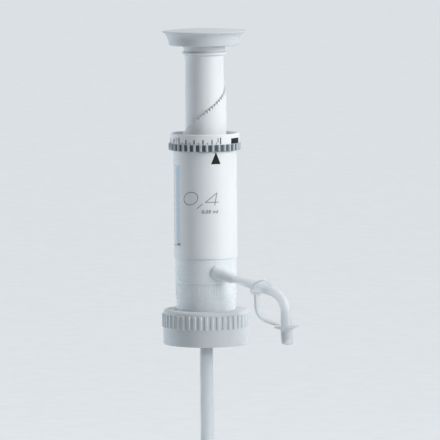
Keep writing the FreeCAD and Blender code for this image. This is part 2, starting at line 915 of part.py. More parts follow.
def plunger_tube():
    """Tube with the stepped ledge: each step is one mark of the volume ring, and its rise is
    the stroke of that volume. The steps are sectors of growing height, joined into one wall."""
    bottom = s.plunger_bottom
    length = s.plunger_top - bottom
    tube = primitive("Cylinder", bottom, Radius=s.plunger_radius, Height=length)
    low = primitive("Cylinder", bottom, Radius=s.cam_radius, Height=s.cam_low - bottom)
    sectors = []
    for step in range(1, int(s.cam_steps.value) + 1):
        start = s.cam_step_angle.value * (step - 1) - s.cam_start_angle.value - 90
        turn = FreeCAD.Rotation(UP, start)
        height = s.cam_low - bottom + s.cam_step_rise * step
        place = FreeCAD.Placement(UP * bottom.value, turn)
        sectors.append(primitive("Cylinder", place, Radius=s.cam_radius, Height=height,
                                 Angle=s.cam_step_angle))
    solid = fused("plunger_solid", [tube, low] + sectors)
    bore = primitive("Cylinder", bottom - PAST, Radius=s.plunger_bore_radius, Height=length + PAST * 2)
    reach = s.cam_radius - s.plunger_radius + s.key_depth + PAST
    keyway = primitive("Box", bottom - PAST, Length=s.key_width, Width=reach,
                       Height=length + PAST - s.key_stop)
    keyway.setExpression(".Placement.Base.x", (-s.key_width / 2).formula)
    keyway.setExpression(".Placement.Base.y", (s.plunger_radius - s.key_depth).formula)
    less("plunger_tube", solid, fused("plunger_cuts", [bore, keyway]))


def knob_collar():
    """Joins the tube to the knob: a spigot in the tube, the bead outside and the neck above."""
    spigot = s.plunger_bore_radius - s.running_gap
    low = s.knob_spigot_length
    bead = low + s.bead_height
    round_over = s.bead_height / 2
    turned("knob_collar", s.plunger_top + s.running_gap - low, [
        (s.rod_radius + s.guide_gap, 0),
        (spigot, 0),
        (spigot, low),
        (s.bead_radius - round_over, low),
        (s.bead_radius, low + round_over, round_over),
        (s.bead_radius - round_over, bead, round_over),
        (s.knob_neck_radius, bead),
        (s.knob_neck_radius, bead + s.knob_neck_height),
        (s.rod_radius + s.guide_gap, bead + s.knob_neck_height),
    ])


def plunger_knob():
    """Flared push knob: a hollow shell with a hub in the middle and a seat for its cap."""
    edge = s.knob_edge_radius
    plate_top = cap_seat
    plate_bottom = plate_top - s.knob_plate
    head_seat = plate_top - s.screw_head_height - s.seat_gap
    head_bore = s.screw_head_radius + s.guide_gap
    rod = s.rod_radius + s.running_gap
    turned("plunger_knob", knob_bottom, [
        (rod, 0),
        (s.knob_neck_radius, 0),
        (s.knob_neck_radius, plate_bottom),
        (s.knob_waist_radius - s.knob_wall, plate_bottom),
        (s.knob_base_radius - s.knob_wall, 0),
        (s.knob_base_radius - edge, 0),
        (s.knob_base_radius, edge, edge),
        (s.knob_waist_radius, s.knob_waist_height),
        (s.knob_rim_radius - s.knob_rim_lip, s.knob_rim_height - s.knob_rim_lip, -s.knob_flare_radius),
        (s.knob_rim_radius, s.knob_rim_height),
        (s.knob_rim_radius - s.knob_rim_draft, s.knob_height),
        (s.knob_cap_radius + s.guide_gap, s.knob_height),
        (s.knob_cap_radius + s.guide_gap, plate_top),
        (head_bore, plate_top),
        (head_bore, head_seat),
        (s.screw_radius + s.guide_gap, head_seat),
        (s.screw_radius + s.guide_gap, head_seat - s.knob_web),
        (rod, head_seat - s.knob_web),
    ])


def knob_cap():
    """Domed disc in the knob's top, with a small flat where it was turned."""
    reach = s.knob_cap_radius
    crown = s.knob_cap_crown
    top = s.knob_cap_edge + crown
    sweep = (reach * reach + crown * crown) / (crown * 2)
    turned("knob_cap", knob_bottom + cap_seat, [
        (0, 0), (reach, 0), (reach, s.knob_cap_edge), (s.knob_cap_flat_radius, top, sweep), (0, top),
    ])


def piston_rod():
    bottom = s.piston_bottom + s.piston_length
    top = knob_bottom + cap_seat - s.screw_head_height - s.seat_gap - s.knob_web
    length = top - bottom - s.running_gap
    hole = s.screw_radius + s.running_gap
    turned("piston_rod", bottom, [
        (0, 0),
        (s.rod_radius, 0),
        (s.rod_radius, length),
        (hole, length),
        (hole, length - s.screw_length),
        (0, length - s.screw_length),
    ])


def rod_screw():
    """Screw through the knob into the rod, with a slot across its head."""
    head = s.screw_head_height
    shank = s.screw_length
    top = shank + head - s.running_gap
    body = turned("rod_screw", knob_bottom + cap_seat - head - shank - s.seat_gap + s.running_gap, [
        (0, 0),
        (s.screw_radius, 0),
        (s.screw_radius, shank),
        (s.screw_head_radius, shank),
        (s.screw_head_radius, top - s.edge_round),
        (s.screw_head_radius - s.edge_round, top, s.edge_round),
        (0, top),
    ])
    far, half = s.screw_head_radius + PAST, s.screw_slot_width / 2
    pocketed(body, [(-far, -half), (far, -half), (far, half), (-far, half)], s.screw_slot_depth + PAST,
             top - s.screw_slot_depth)


def piston():
    """Piston with a groove for its seal ring."""
    land = s.bore_radius - s.running_gap
    low = (s.piston_length - s.piston_seal_height) / 2 - s.seat_gap
    high = low + s.piston_seal_height + s.seat_gap * 2
    turned("piston", s.piston_bottom, [
        (0, 0),
        (land - s.piston_chamfer, 0),
        (land, s.piston_chamfer),
        (land, low),
        (s.piston_groove_radius, low),
        (s.piston_groove_radius, high),
        (land, high),
        (land, s.piston_length),
        (0, s.piston_length),
    ])


def piston_seal():
    inner = s.piston_groove_radius + s.running_gap
    outer = s.bore_radius - s.running_gap / 2
    turned("piston_seal", s.piston_bottom + (s.piston_length - s.piston_seal_height) / 2, [
        (inner, 0), (outer, 0), (outer, s.piston_seal_height), (inner, s.piston_seal_height),
    ])


# Discharge valve, nozzle and cap

seat_front = s.seat_setback + s.seat_gap + s.seat_thickness - s.chamber_back
ball_centre = seat_front + root(s.discharge_ball_radius * s.discharge_ball_radius
                                - s.seat_hole_radius * s.seat_hole_radius) + s.running_gap
spring_back = ball_centre + s.discharge_ball_radius + s.running_gap
nozzle_back = spring_back + s.spring_length + s.spring_wire + s.seat_gap
bend_start = nozzle_back + s.nozzle_straight


def discharge_seat():
    outer = s.chamber_bore_radius - s.running_gap
    turned("discharge_seat", along_run(seat_front - s.seat_thickness), [
        (s.seat_hole_radius, 0), (outer, 0), (outer, s.seat_thickness),
        (s.seat_hole_radius, s.seat_thickness),
    ])


def discharge_ball():
    ball = primitive("Sphere", along_run(ball_centre), Radius=s.discharge_ball_radius)
    ball.Label = "discharge_ball"


def discharge_spring():
    """Round wire wound between the ball and the nozzle's end."""
    body = new_body("discharge_spring", along_run(spring_back + s.spring_wire / 2))
    wire = s.spring_wire / 2
    reach = s.discharge_ball_radius - s.spring_wire
    sketch = new_sketch(body, "XZ_Plane")
    centre = FreeCAD.Vector(reach.value, 0, 0)
    sketch.addGeometry(Part.Circle(centre, UP, wire.value), False)
    sketch.addConstraint([
        Sketcher.Constraint("Radius", 0, wire.value),
        Sketcher.Constraint("DistanceX", -1, 1, 0, 3, reach.value),
        Sketcher.Constraint("PointOnObject", 0, 3, -1),
    ])
    sketch.setExpression("Constraints[0]", wire.formula)
    sketch.setExpression("Constraints[1]", reach.formula)
    coil = body.newObject("PartDesign::AdditiveHelix", "spring_coil")
    coil.Profile = sketch
    coil.ReferenceAxis = (sketch, ["V_Axis"])
    coil.Mode = "pitch-height-angle"
    coil.setExpression("Pitch", s.spring_pitch.formula)
    coil.setExpression("Height", (s.spring_length - s.spring_wire).formula)


def bend_frames():
    """The bend's own placement, and the place and direction where it ends."""
    aside = NOZZLE_LEVEL.cross(UP)
    start = NOZZLE_ROOT + NOZZLE_RUN * bend_start.value
    inward = aside.cross(NOZZLE_RUN).normalize() * -1
    centre = start + inward * s.bend_radius.value
    turn = FreeCAD.Rotation(aside, -s.bend_angle.value)
    bend = frame_at(centre, aside * -1, inward * -1)
    end = centre + turn.multVec(inward * -s.bend_radius.value)
    return bend, end, turn.multVec(NOZZLE_RUN)


NOZZLE_BEND, BEND_END, TIP_RUN = bend_frames()
NOZZLE_END = BEND_END + TIP_RUN * s.nozzle_drop.value


def bent_tube(label, radii, extra):
    """A tube of three stretches along the nozzle's line: straight run, bend and drop."""
    start, bend, end = radii
    return fused(label, [
        primitive("Cone", along_run(nozzle_back - extra), Radius1=start, Radius2=bend,
                  Height=s.nozzle_straight + extra),
        primitive("Torus", NOZZLE_BEND, Radius1=s.bend_radius, Radius2=bend, Angle3=s.bend_angle),
        primitive("Cone", frame_at(BEND_END, TIP_RUN), Radius1=bend, Radius2=end,
                  Height=s.nozzle_drop),
    ])


def nozzle():
    """Discharge tube, widening towards its end, with the narrower tip that the cap fits on."""
    outside = bent_tube("nozzle_outside", (s.nozzle_start_radius, s.nozzle_bend_radius,
                                           s.nozzle_end_radius), as_size(0))
    tip_root = frame_at(NOZZLE_END - TIP_RUN * PAST, TIP_RUN)
    tip = primitive("Cylinder", tip_root, Radius=s.tip_radius, Height=s.tip_length + PAST)
    bore = s.nozzle_bore_radius
    inside = bent_tube("nozzle_inside", (bore, bore, bore), as_size(PAST))
    mouth = primitive("Cylinder", tip_root, Radius=bore, Height=s.tip_length + PAST * 2)
    less("nozzle", fused("nozzle_solid", [outside, tip]), fused("nozzle_hollow", [inside, mouth]))


def nozzle_cap():
    """Closed sleeve over the tip, with the flange that fingers pull it off by."""
    length = s.cap_length
    hole = s.tip_radius + s.guide_gap * 2
    edge = length - s.cap_flange_edge
    foot = s.cap_foot_radius
    narrow = s.cap_radius - s.cap_taper
    bottom = NOZZLE_END + TIP_RUN * (length.value + s.seat_gap.value)
    turned("nozzle_cap", frame_at(bottom, TIP_RUN * -1), [
        (0, 0),
        (narrow - foot, 0),
        (narrow, foot, foot),
        (s.cap_radius, edge - s.cap_cone_height),
        (s.cap_flange_radius, edge),
        (s.cap_flange_radius, length),
        (hole, length),
        (hole, s.cap_floor),
        (0, s.cap_floor),
    ])


STRAP_RING_UP = facing(s.strap_ring_turn, s.strap_ring_tilt)
STRAP_RING_CENTRE = NOZZLE_ROOT + NOZZLE_RUN * s.strap_ring_place.value


def strap_plane():
    """Sketch place for the strap, upright from the ring's lowest point towards the nozzle's end:
    x is level from that point and y is up. Also the height of the point and the level way to the end."""
    down = (STRAP_RING_UP * (UP * STRAP_RING_UP) - UP).normalize()
    edge = (s.strap_ring_thickness / 2).value
    lowest = STRAP_RING_CENTRE + down * (s.strap_ring_radius.value - edge) - UP * edge
    way = NOZZLE_END - lowest
    way.z = 0
    place = FreeCAD.Vector(lowest.x, lowest.y, 0)
    reach = way.Length
    way.normalize()
    return frame_at(place, way.cross(UP), way), as_size(lowest.z), as_size(reach)


def cap_strap():
    """Flat strap that hangs from its ring and curls round to the cap's flange."""
    where, top, reach = strap_plane()
    body = new_body("cap_strap", where)
    half = s.strap_thickness / 2
    inside = s.strap_bend_radius - half
    outside = s.strap_bend_radius + half
    left = as_size(0) - s.strap_setback
    middle = left + outside
    low = s.strap_bend_height
    across, down = sine(s.strap_end_slope), cosine(s.strap_end_slope)
    run = (reach - s.cap_flange_radius - s.seat_gap * 2 - middle) / down + s.strap_bend_radius * across / down
    end_x = [middle - radius * across + run * down for radius in (inside, outside)]
    end_y = [low - radius * down - run * across for radius in (inside, outside)]
    padded(body, [
        (left, top - s.seat_gap),
        (left, low),
        (middle - outside * across, low - outside * down, outside),
        (end_x[1], end_y[1]),
        (end_x[0], end_y[0]),
        (middle - inside * across, low - inside * down),
        (middle - inside, low, -inside),
        (middle - inside, top - s.seat_gap),
    ], s.strap_width, both_ways=True)


def strap_ring():
    """Ring at the strap's upper end, hanging aslant on the nozzle."""
    half = s.strap_ring_thickness / 2
    inner, outer = s.strap_ring_hole, s.strap_ring_radius
    turned("strap_ring", frame_at(STRAP_RING_CENTRE - STRAP_RING_UP * half.value, STRAP_RING_UP), [
        (inner, 0),
        (outer - half, 0),
        (outer, half, half),
        (outer - half, half * 2, half),
        (inner, half * 2),
    ])


PARTS = (
    bottle_gasket, collar_clip, screw_collar, valve_block, vent_plug,
    filling_valve, ball_cage, suction_ball, suction_tube,
    glass_cylinder, cylinder_seal, cylinder_nut,
    housing, window_pane, guide_bush,
    scale_ring, grip_ring, stop_lug,
    plunger_tube, knob_collar, plunger_knob, knob_cap, piston_rod, rod_screw, piston, piston_seal,
    discharge_seat, discharge_ball, discharge_spring, nozzle, nozzle_cap, cap_strap, strap_ring,
)
for make in PARTS:
    make()
document.recompute()


def check_and_write():
    for item in document.Objects:
        if "Invalid" in item.State or "Error" in item.State:
            raise RuntimeError(f"{item.Label} failed: {item.State}")
    os.makedirs("parts", exist_ok=True)
    shapes = {}
    for label in (make.__name__ for make in PARTS):
        shape = document.getObjectsByLabel(label)[0].Shape
        if shape.isNull() or not shape.isValid() or not shape.Solids:
            raise RuntimeError(f"{label} has no valid shape")
        shapes[label] = shape
    for label, shape in shapes.items():
        shape.exportStep(f"parts/{label}.step")
        box = shape.BoundBox
        print(f"{label}: {len(shape.Solids)} solid, {shape.Volume / 1000:.3f} ml, "
              f"z {box.ZMin:.2f} to {box.ZMax:.2f}")


check_and_write()
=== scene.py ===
import json
import math

import bmesh
import bpy
from mathutils import Matrix, Vector


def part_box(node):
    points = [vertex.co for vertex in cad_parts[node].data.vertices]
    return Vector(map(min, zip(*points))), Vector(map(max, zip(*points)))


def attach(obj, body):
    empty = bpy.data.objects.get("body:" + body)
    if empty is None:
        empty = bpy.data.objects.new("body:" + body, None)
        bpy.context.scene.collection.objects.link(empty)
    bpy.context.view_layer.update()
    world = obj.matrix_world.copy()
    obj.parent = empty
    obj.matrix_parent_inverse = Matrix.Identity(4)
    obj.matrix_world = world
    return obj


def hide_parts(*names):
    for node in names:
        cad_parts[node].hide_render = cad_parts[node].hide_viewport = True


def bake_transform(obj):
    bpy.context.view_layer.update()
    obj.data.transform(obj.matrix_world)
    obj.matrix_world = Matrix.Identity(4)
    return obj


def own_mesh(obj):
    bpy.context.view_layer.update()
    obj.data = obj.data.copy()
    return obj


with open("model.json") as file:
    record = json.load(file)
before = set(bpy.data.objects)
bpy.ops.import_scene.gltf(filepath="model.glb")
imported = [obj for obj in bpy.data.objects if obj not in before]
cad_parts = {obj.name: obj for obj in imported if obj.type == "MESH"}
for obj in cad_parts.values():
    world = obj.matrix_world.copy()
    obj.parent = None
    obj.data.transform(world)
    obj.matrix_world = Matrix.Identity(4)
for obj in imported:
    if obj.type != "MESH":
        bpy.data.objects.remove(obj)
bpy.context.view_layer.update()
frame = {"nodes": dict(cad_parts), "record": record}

# Bottle-top dispenser: finishes and finely turned forms over the frame's pieces.
# Lengths are in millimetres until a mesh is finished, and in metres from there on.
# Angles round the plunger's axis start at the front, -Y, and grow towards the right, +X.

MM = 0.001
ROUND = 192
UP = Vector((0, 0, 1))
BODY = "dispenser_body"


# Sizes read from the frame

def low(node):
    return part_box(node)[0].z / MM


def high(node):
    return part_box(node)[1].z / MM


def radius(node):
    lo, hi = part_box(node)
    return (hi.x - lo.x) / 2 / MM


# Finishes

def linear(code):
    """sRGB hex to the linear colour that the shader takes."""
    parts = [int(code[i:i + 2], 16) / 255 for i in (1, 3, 5)]
    return [p / 12.92 if p <= 0.04045 else ((p + 0.055) / 1.055) ** 2.4 for p in parts] + [1]


def add(tree, kind, settings=None, **inputs):
    """Adds a node. Inputs are named by their sockets, with _ for a space: a value, or (node, output)."""
    node = tree.nodes.new(kind)
    for name, value in (settings or {}).items():
        setattr(node, name, value)
    for name, value in inputs.items():
        socket = node.inputs[int(name[1:])] if name[0] == "i" and name[1:].isdigit() \
            else node.inputs[name.replace("_", " ")]
        if isinstance(value, tuple) and isinstance(value[0], bpy.types.Node):
            tree.links.new(value[0].outputs[value[1]], socket)
        else:
            socket.default_value = value
    return node


PATCH = 14
SHEEN_SPREAD = 0.05


def finish(name, base, rough, grain, depth, mottle=0.03, **shader):
    """A moulded, ground or drawn surface. Grain is its texture's size in mm and depth its relief in mm.
    The real textures are mostly finer than a picture shows, so they are drawn coarser. Mottle is how far
    the colour wanders from patch to patch, as a share."""
    material = bpy.data.materials.new(name)
    material.use_nodes = True
    tree = material.node_tree
    tree.nodes.clear()
    place = add(tree, "ShaderNodeTexCoord")
    fine = add(tree, "ShaderNodeTexNoise", Vector=(place, "Object"), Scale=1 / (grain * MM), Detail=3.0)
    broad = add(tree, "ShaderNodeTexNoise", Vector=(place, "Object"), Scale=1 / (PATCH * MM), Detail=2.0)
    shade = [c * (1 - mottle) for c in linear(base)[:3]] + [1]
    tone = add(tree, "ShaderNodeMix", {"data_type": "RGBA"}, Factor=(broad, "Fac"), i6=shade,
               i7=linear(base))
    sheen = add(tree, "ShaderNodeMapRange", Value=(fine, "Fac"), To_Min=rough - SHEEN_SPREAD,
                To_Max=rough + SHEEN_SPREAD)
    relief = add(tree, "ShaderNodeBump", Height=(fine, "Fac"), Distance=depth * MM, Strength=1.0)
    surface = add(tree, "ShaderNodeBsdfPrincipled", Base_Color=(tone, 2), Roughness=(sheen, "Result"),
                  Normal=(relief, "Normal"), **shader)
    add(tree, "ShaderNodeOutputMaterial", Surface=(surface, "BSDF"))
    return material


# Polypropylene from a spark-eroded mould: opaque white, silky, with a soft edge to its highlights
white_polypropylene = finish("white_polypropylene", "#E9ECED", 0.35, 0.5, 0.004, IOR=1.49,
                             Subsurface_Weight=0.08, Subsurface_Scale=0.002,
                             Subsurface_Radius=(1.0, 1.0, 1.0))
# The same resin tinted a cool pale grey, as the knob and the collar are
pale_grey_polypropylene = finish("pale_grey_polypropylene", "#D3D8DA", 0.5, 0.6, 0.006, IOR=1.49,
                                 Subsurface_Weight=0.05, Subsurface_Scale=0.0015,
                                 Subsurface_Radius=(1.0, 1.0, 1.0), Specular_IOR_Level=0.32)
# Darker grey for the ring that the fingers turn, rubbed a little glossier on its ridges
mid_grey_polypropylene = finish("mid_grey_polypropylene", "#BCC5C8", 0.38, 0.5, 0.006, mottle=0.06,
                                IOR=1.49)
# The band between its ridges, duller and darker: painted shade for the dark recesses between the ridges
painted_notch_shade = finish("painted_notch_shade", "#465157", 0.5, 0.5, 0.008, mottle=0.1,
                                 IOR=1.49)
# Natural polypropylene in a thick wall: milky, and light that enters spreads before it leaves
natural_polypropylene = finish("natural_polypropylene", "#E6ECEE", 0.27, 1.2, 0.003, IOR=1.49,
                               Subsurface_Weight=0.3, Subsurface_Scale=0.002,
                               Subsurface_Radius=(1.0, 1.0, 1.0))
# Fluoropolymer in a thin wall: waxy and cloudy, brightest along its edges
cloudy_fluoropolymer = finish("cloudy_fluoropolymer", "#F7FBFD", 0.38, 1.0, 0.003, IOR=1.36,
                              Subsurface_Weight=0.4, Subsurface_Scale=0.003,
                              Subsurface_Radius=(1.0, 1.0, 1.0), Transmission_Weight=0.6)
# Polycarbonate pane, polished in the mould
clear_polycarbonate = finish("clear_polycarbonate", "#DDE9F1", 0.055, 3.0, 0.0003, mottle=0.01,
                             IOR=1.585, Transmission_Weight=1.0)
# Drawn borosilicate glass with a fire-polished end
borosilicate_glass = finish("borosilicate_glass", "#E9F2F2", 0.05, 4.0, 0.0005, mottle=0.01, IOR=1.473,
                            Transmission_Weight=0.97)
# Turned PTFE: dead white and slippery, with faint tool marks
turned_ptfe = finish("turned_ptfe", "#ECECE8", 0.42, 0.3, 0.004, IOR=1.36, Subsurface_Weight=0.15,
                     Subsurface_Scale=0.002, Subsurface_Radius=(1.0, 1.0, 1.0))
# Fluororubber seals: dark, dull, slightly dusty
fluororubber = finish("fluororubber", "#2C2E31", 0.62, 0.25, 0.01, mottle=0.15)
# Stainless steel wire and screw, drawn and turned
turned_stainless = finish("turned_stainless", "#B4B8BC", 0.26, 0.15, 0.002, mottle=0.08, Metallic=1.0)
# Pad-printed inks: black for the scale, grey for the large figures
black_ink = finish("black_ink", "#0A0B0C", 0.6, 0.2, 0.003, mottle=0.12, Specular_IOR_Level=0.25)
grey_ink = finish("grey_ink", "#9BA4A8", 0.55, 0.2, 0.003, mottle=0.08, Specular_IOR_Level=0.25)


# Mesh tools

def arc(centre, size, start, end, steps=8):
    """Points of an arc in an outline, from one angle to another in degrees."""
    angles = [math.radians(start + (end - start) * i / steps) for i in range(steps + 1)]
    return [(centre[0] + size * math.cos(a), centre[1] + size * math.sin(a)) for a in angles]


def held(outline, long_run=2.5, margin=0.4):
    """Adds a corner near both ends of each long run, so that smooth shading turns only at its ends."""
    points = []
    for here, there in zip(outline, outline[1:] + outline[:1]):
        run = Vector(there) - Vector(here)
        points.append(here)
        if run.length > long_run:
            step = run.normalized() * margin
            points += [tuple(Vector(here) + step), tuple(Vector(there) - step)]
    return points


def lathe(outline, steps=ROUND, sweep=360, start=0):
    """A closed outline of (radius, height) turned about Z. It starts at an angle from the front."""
    bm = bmesh.new()
    corners = [bm.verts.new((0, -r, z)) for r, z in held(outline)]
    for i, corner in enumerate(corners):
        bm.edges.new((corner, corners[(i + 1) % len(corners)]))
    bmesh.ops.rotate(bm, verts=bm.verts, matrix=Matrix.Rotation(math.radians(start), 3, "Z"))
    if sweep < 360:
        bmesh.ops.contextual_create(bm, geom=bm.edges[:])
    bmesh.ops.spin(bm, geom=bm.verts[:] + bm.edges[:] + bm.faces[:], axis=UP, cent=(0, 0, 0), steps=steps,
                   angle=math.radians(sweep), use_merge=sweep == 360)
    bmesh.ops.remove_doubles(bm, verts=bm.verts, dist=0.001)
    bmesh.ops.dissolve_degenerate(bm, edges=bm.edges, dist=0.0005)
    bmesh.ops.recalc_face_normals(bm, faces=bm.faces)
    return bm


def soften(bm, width, sharper_than):
    """Rounds every edge that turns more than an angle in degrees."""
    limit = math.radians(sharper_than)
    edges = [e for e in bm.edges if e.is_manifold and e.calc_face_angle(0) > limit]
    bmesh.ops.bevel(bm, geom=edges, offset=width, offset_type="OFFSET", segments=2, profile=0.5,
                    affect="EDGES", clamp_overlap=True, material=-1)
    return bm


def aimed(bm, place, up):
    """Stands a mesh that was made about Z at a place, with its Z along up."""
    turn = UP.rotation_difference(up).to_matrix().to_4x4()
    bmesh.ops.transform(bm, matrix=Matrix.Translation(place) @ turn, verts=bm.verts)
    return bm


def mesh_of(name, bm):
    """Turns a bmesh into a mesh and frees it."""
    mesh = bpy.data.meshes.new(name)
    bm.to_mesh(mesh)
    bm.free()
    return mesh


def placed(name, data):
    """A new object in the scene that shows a mesh, a curve, a lamp or a camera."""
    made = bpy.data.objects.new(name, data)
    bpy.context.scene.collection.objects.link(made)
    return made


def shade_smooth(mesh, crease):
    """Shades smooth across every edge that turns less than an angle in degrees."""
    mesh.polygons.foreach_set("use_smooth", [True] * len(mesh.polygons))
    mesh.set_sharp_from_angle(angle=math.radians(crease))


def piece(name, bm, material, body=BODY, nodes=(), crease=40):
    """Turns a mesh in mm into a piece of the part, in metres, riding on a body."""
    bmesh.ops.scale(bm, vec=(MM, MM, MM), verts=bm.verts)
    mesh = mesh_of(name, bm)
    shade_smooth(mesh, crease)
    mesh.materials.append(material)
    made = placed(name, mesh)
    if body:
        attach(made, body)
    if nodes:
        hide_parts(*nodes)
    return made


def corners_in(geometry):
    return [g for g in geometry if isinstance(g, bmesh.types.BMVert)]


def edges_in(geometry):
    return [g for g in geometry if isinstance(g, bmesh.types.BMEdge)]


def faces_in(geometry):
    return [g for g in geometry if isinstance(g, bmesh.types.BMFace)]


def joined(first, *others):
    """Adds the other meshes to the first one."""
    for other in others:
        mesh = mesh_of("part", other)
        first.from_mesh(mesh)
        bpy.data.meshes.remove(mesh)
    return first


def evaluated(made):
    """An object's mesh with its modifiers applied, or a curve's filled outline as a mesh."""
    return bpy.data.meshes.new_from_object(made.evaluated_get(bpy.context.evaluated_depsgraph_get()))


def combined(made, bm, operation, crease=32):
    """Cuts a piece with a mesh in mm, or joins the mesh to it, by an exact boolean."""
    bmesh.ops.scale(bm, vec=(MM, MM, MM), verts=bm.verts)
    mesh = mesh_of("tool", bm)
    tool = placed("tool", mesh)
    step = made.modifiers.new("step", "BOOLEAN")
    step.operation = operation
    step.solver = "EXACT"
    step.object = tool
    result = evaluated(made)
    made.modifiers.clear()
    made.data = result
    bpy.data.objects.remove(tool)
    bpy.data.meshes.remove(mesh)
    shade_smooth(result, crease)


# Knob, its cap and the collar under it

KNOB_WAIST = 22.95
KNOB_BASE = 21.9
KNOB_WALL = 2
HUB = 12.9


def knob():
    """A shell with a hub: its side stands nearly straight over the foot and flares below the lip."""
    base, top = low("plunger_knob"), high("plunger_knob")
    rim = radius("plunger_knob")
    lip, hollow = top - 0.5, base + 6.2
    screw_hole, foot = 2.85, 1.1
    dish, dish_floor = 24.7, top - 0.65
    outline = [
        (screw_hole, base), (HUB, base), (HUB, hollow), (KNOB_WAIST - KNOB_WALL, hollow),
        (KNOB_BASE - KNOB_WALL, base), (KNOB_BASE - foot, base),
    ]
    outline += arc((KNOB_BASE - foot, base + foot), foot, -90, -8)[1:]
    outline += [(22.2, base + 2.8), (22.6, base + 4.4), (KNOB_WAIST, base + 5.4), (23.5, base + 6.3)]
    outline += [(24.4, base + 7.2), (25.6, lip - 0.35), (rim - 0.08, lip - 0.05), (rim, lip + 0.12)]
    outline += [(rim - 0.05, top - 0.18), (rim - 0.3, top - 0.02), (rim - 0.6, top)]
    outline += [(dish, top - 0.02), (dish, dish_floor), (screw_hole, dish_floor)]
    piece("push_knob", soften(lathe(outline), 0.15, 50), pale_grey_polypropylene,
          "plunger", ["plunger_knob"])


def knob_dome():
    """The disc in the knob's top, a shallow part of a sphere."""
    base, top = low("knob_cap"), high("knob_cap")
    reach = radius("knob_cap")
    edge, steps = 0.55, 12
    rise = top - (base + edge)
    sphere = (reach ** 2 + rise ** 2) / (2 * rise)
    crown = [reach * (1 - i / steps) for i in range(steps + 1)]
    crown = [(r, top - sphere + math.sqrt(sphere ** 2 - r ** 2)) for r in crown]
    piece("knob_dome", soften(lathe([(0, base), (reach, base)] + crown), 0.2, 50),
          pale_grey_polypropylene, "plunger", ["knob_cap"])


def knob_neck():
    base, top = low("knob_collar"), high("knob_collar")
    bead = radius("knob_collar")
    seam = high("plunger_tube") + 0.1
    bore, spigot, bulge = 2.9, 10.2, 1.1
    outline = [(bore, base), (spigot, base), (spigot, seam), (bead - bulge, seam)]
    outline += arc((bead - bulge, seam + bulge), bulge, -90, 90)[1:]
    outline += [(HUB + 0.15, seam + 2.3), (HUB, seam + 2.6), (HUB, top), (bore, top)]
    piece("knob_neck", lathe(outline), white_polypropylene, "plunger", ["knob_collar"])


# Plunger tube and its stepped ledge

CAM_START = -120
CAM_STEP = 7.5
CAM_STEPS = 33
CAM_RISE = 1.3
CAM_LOW = 107.45
POCKET = 0.75


def angle_of(place):
    return math.degrees(math.atan2(place.x, -place.y))


def from_ledge_start(place):
    return (angle_of(place) - CAM_START) % 360


def turned_past(face, first):
    """True for a face on the ledge whose middle lies past an angle, counted from the ledge's start."""
    return first < from_ledge_start(face.calc_center_median()) < CAM_STEPS * CAM_STEP


def plunger_sleeve():
    """The tube, and a stair that climbs round it: each step raises what is left of the one before it.
    Shallow pockets where the steps start show as a row of dots."""
    base, top = low("plunger_tube"), high("plunger_tube")
    wall, bore, chamfer, sunk = 12.05, 10.3, 0.3, 0.3
    outline = [(bore, base), (wall, base), (wall, top - chamfer), (wall - chamfer, top), (bore, top)]
    sleeve = lathe(outline)
    cam = radius("plunger_tube")
    columns = 5
    steps = round(360 / CAM_STEP)
    section = [(wall - sunk, base + 0.01), (cam, base + 0.01), (cam, CAM_LOW), (wall - sunk, CAM_LOW)]
    ledge = lathe(section, steps * columns, start=CAM_START)
    tread = [f for f in ledge.faces if f.normal.z > 0.9]
    for step in range(CAM_STEPS):
        tread = [f for f in tread if turned_past(f, step * CAM_STEP)]
        raised = bmesh.ops.extrude_face_region(ledge, geom=tread)["geom"]
        bmesh.ops.delete(ledge, geom=tread, context="FACES_ONLY")
        bmesh.ops.translate(ledge, vec=(0, 0, CAM_RISE), verts=corners_in(raised))
        tread = faces_in(raised)
    for corner in ledge.verts:
        rise = (corner.co.z - CAM_LOW) / CAM_RISE
        ahead = (from_ledge_start(corner.co) - CAM_STEP * rise) / CAM_STEP * columns
        on_tread = 0.99 < rise < CAM_STEPS and abs(rise - round(rise)) < 0.01
        in_pocket = -1.5 < ahead < 0.5
        if on_tread and in_pocket:
            corner.co.z -= POCKET
    bmesh.ops.recalc_face_normals(ledge, faces=ledge.faces)
    piece("plunger_sleeve", joined(sleeve, ledge), white_polypropylene, "plunger",
          ["plunger_tube"], crease=25)


# Volume ring

RING_NOTCHES = 35
NOTCH_PHASE = 3.1


def scale_rim():
    base, top = low("scale_ring"), high("scale_ring")
    wall = radius("scale_ring")
    inner, hub, floor = wall - 1.5, 15.4, base + 2.2
    lip, recess, recess_floor = 0.45, 16.1, floor - 0.5
    outline = [(hub, base), (wall, base), (wall, top - lip)]
    outline += arc((wall - lip, top - lip), lip, 0, 90, 4)[1:]
    outline += arc((inner + lip, top - lip), lip, 90, 180, 4)
    outline += [(inner, floor), (recess, floor), (recess, recess_floor), (hub, recess_floor)]
    piece("scale_rim", soften(lathe(outline), 0.12, 60), white_polypropylene,
          "volume_ring", ["scale_ring"])


def ridged(bm, count, rows, depth, share, phase):
    """Presses grooves between ridges into the outer wall: moves each corner inwards by its angle, with
    an eased flank. Rows is the (lowest, highest, least radius) that takes part, and share the ridge's
    part of the pitch."""
    bottom, top, least = rows
    floor = max(corner.co.xy.length for corner in bm.verts) - depth
    flank = 0.14
    for corner in bm.verts:
        distance = corner.co.xy.length
        if distance < least or not bottom <= corner.co.z <= top:
            continue
        angle = angle_of(corner.co) - phase
        across = abs((angle * count / 360) % 1 - 0.5) * 2
        fall = min(max((across - (1 - share) + flank) / (2 * flank), 0), 1)
        inward = depth * (1 - fall * fall * (3 - 2 * fall))
        corner.co.xy *= (distance - min(inward, distance - floor)) / distance
    return bm


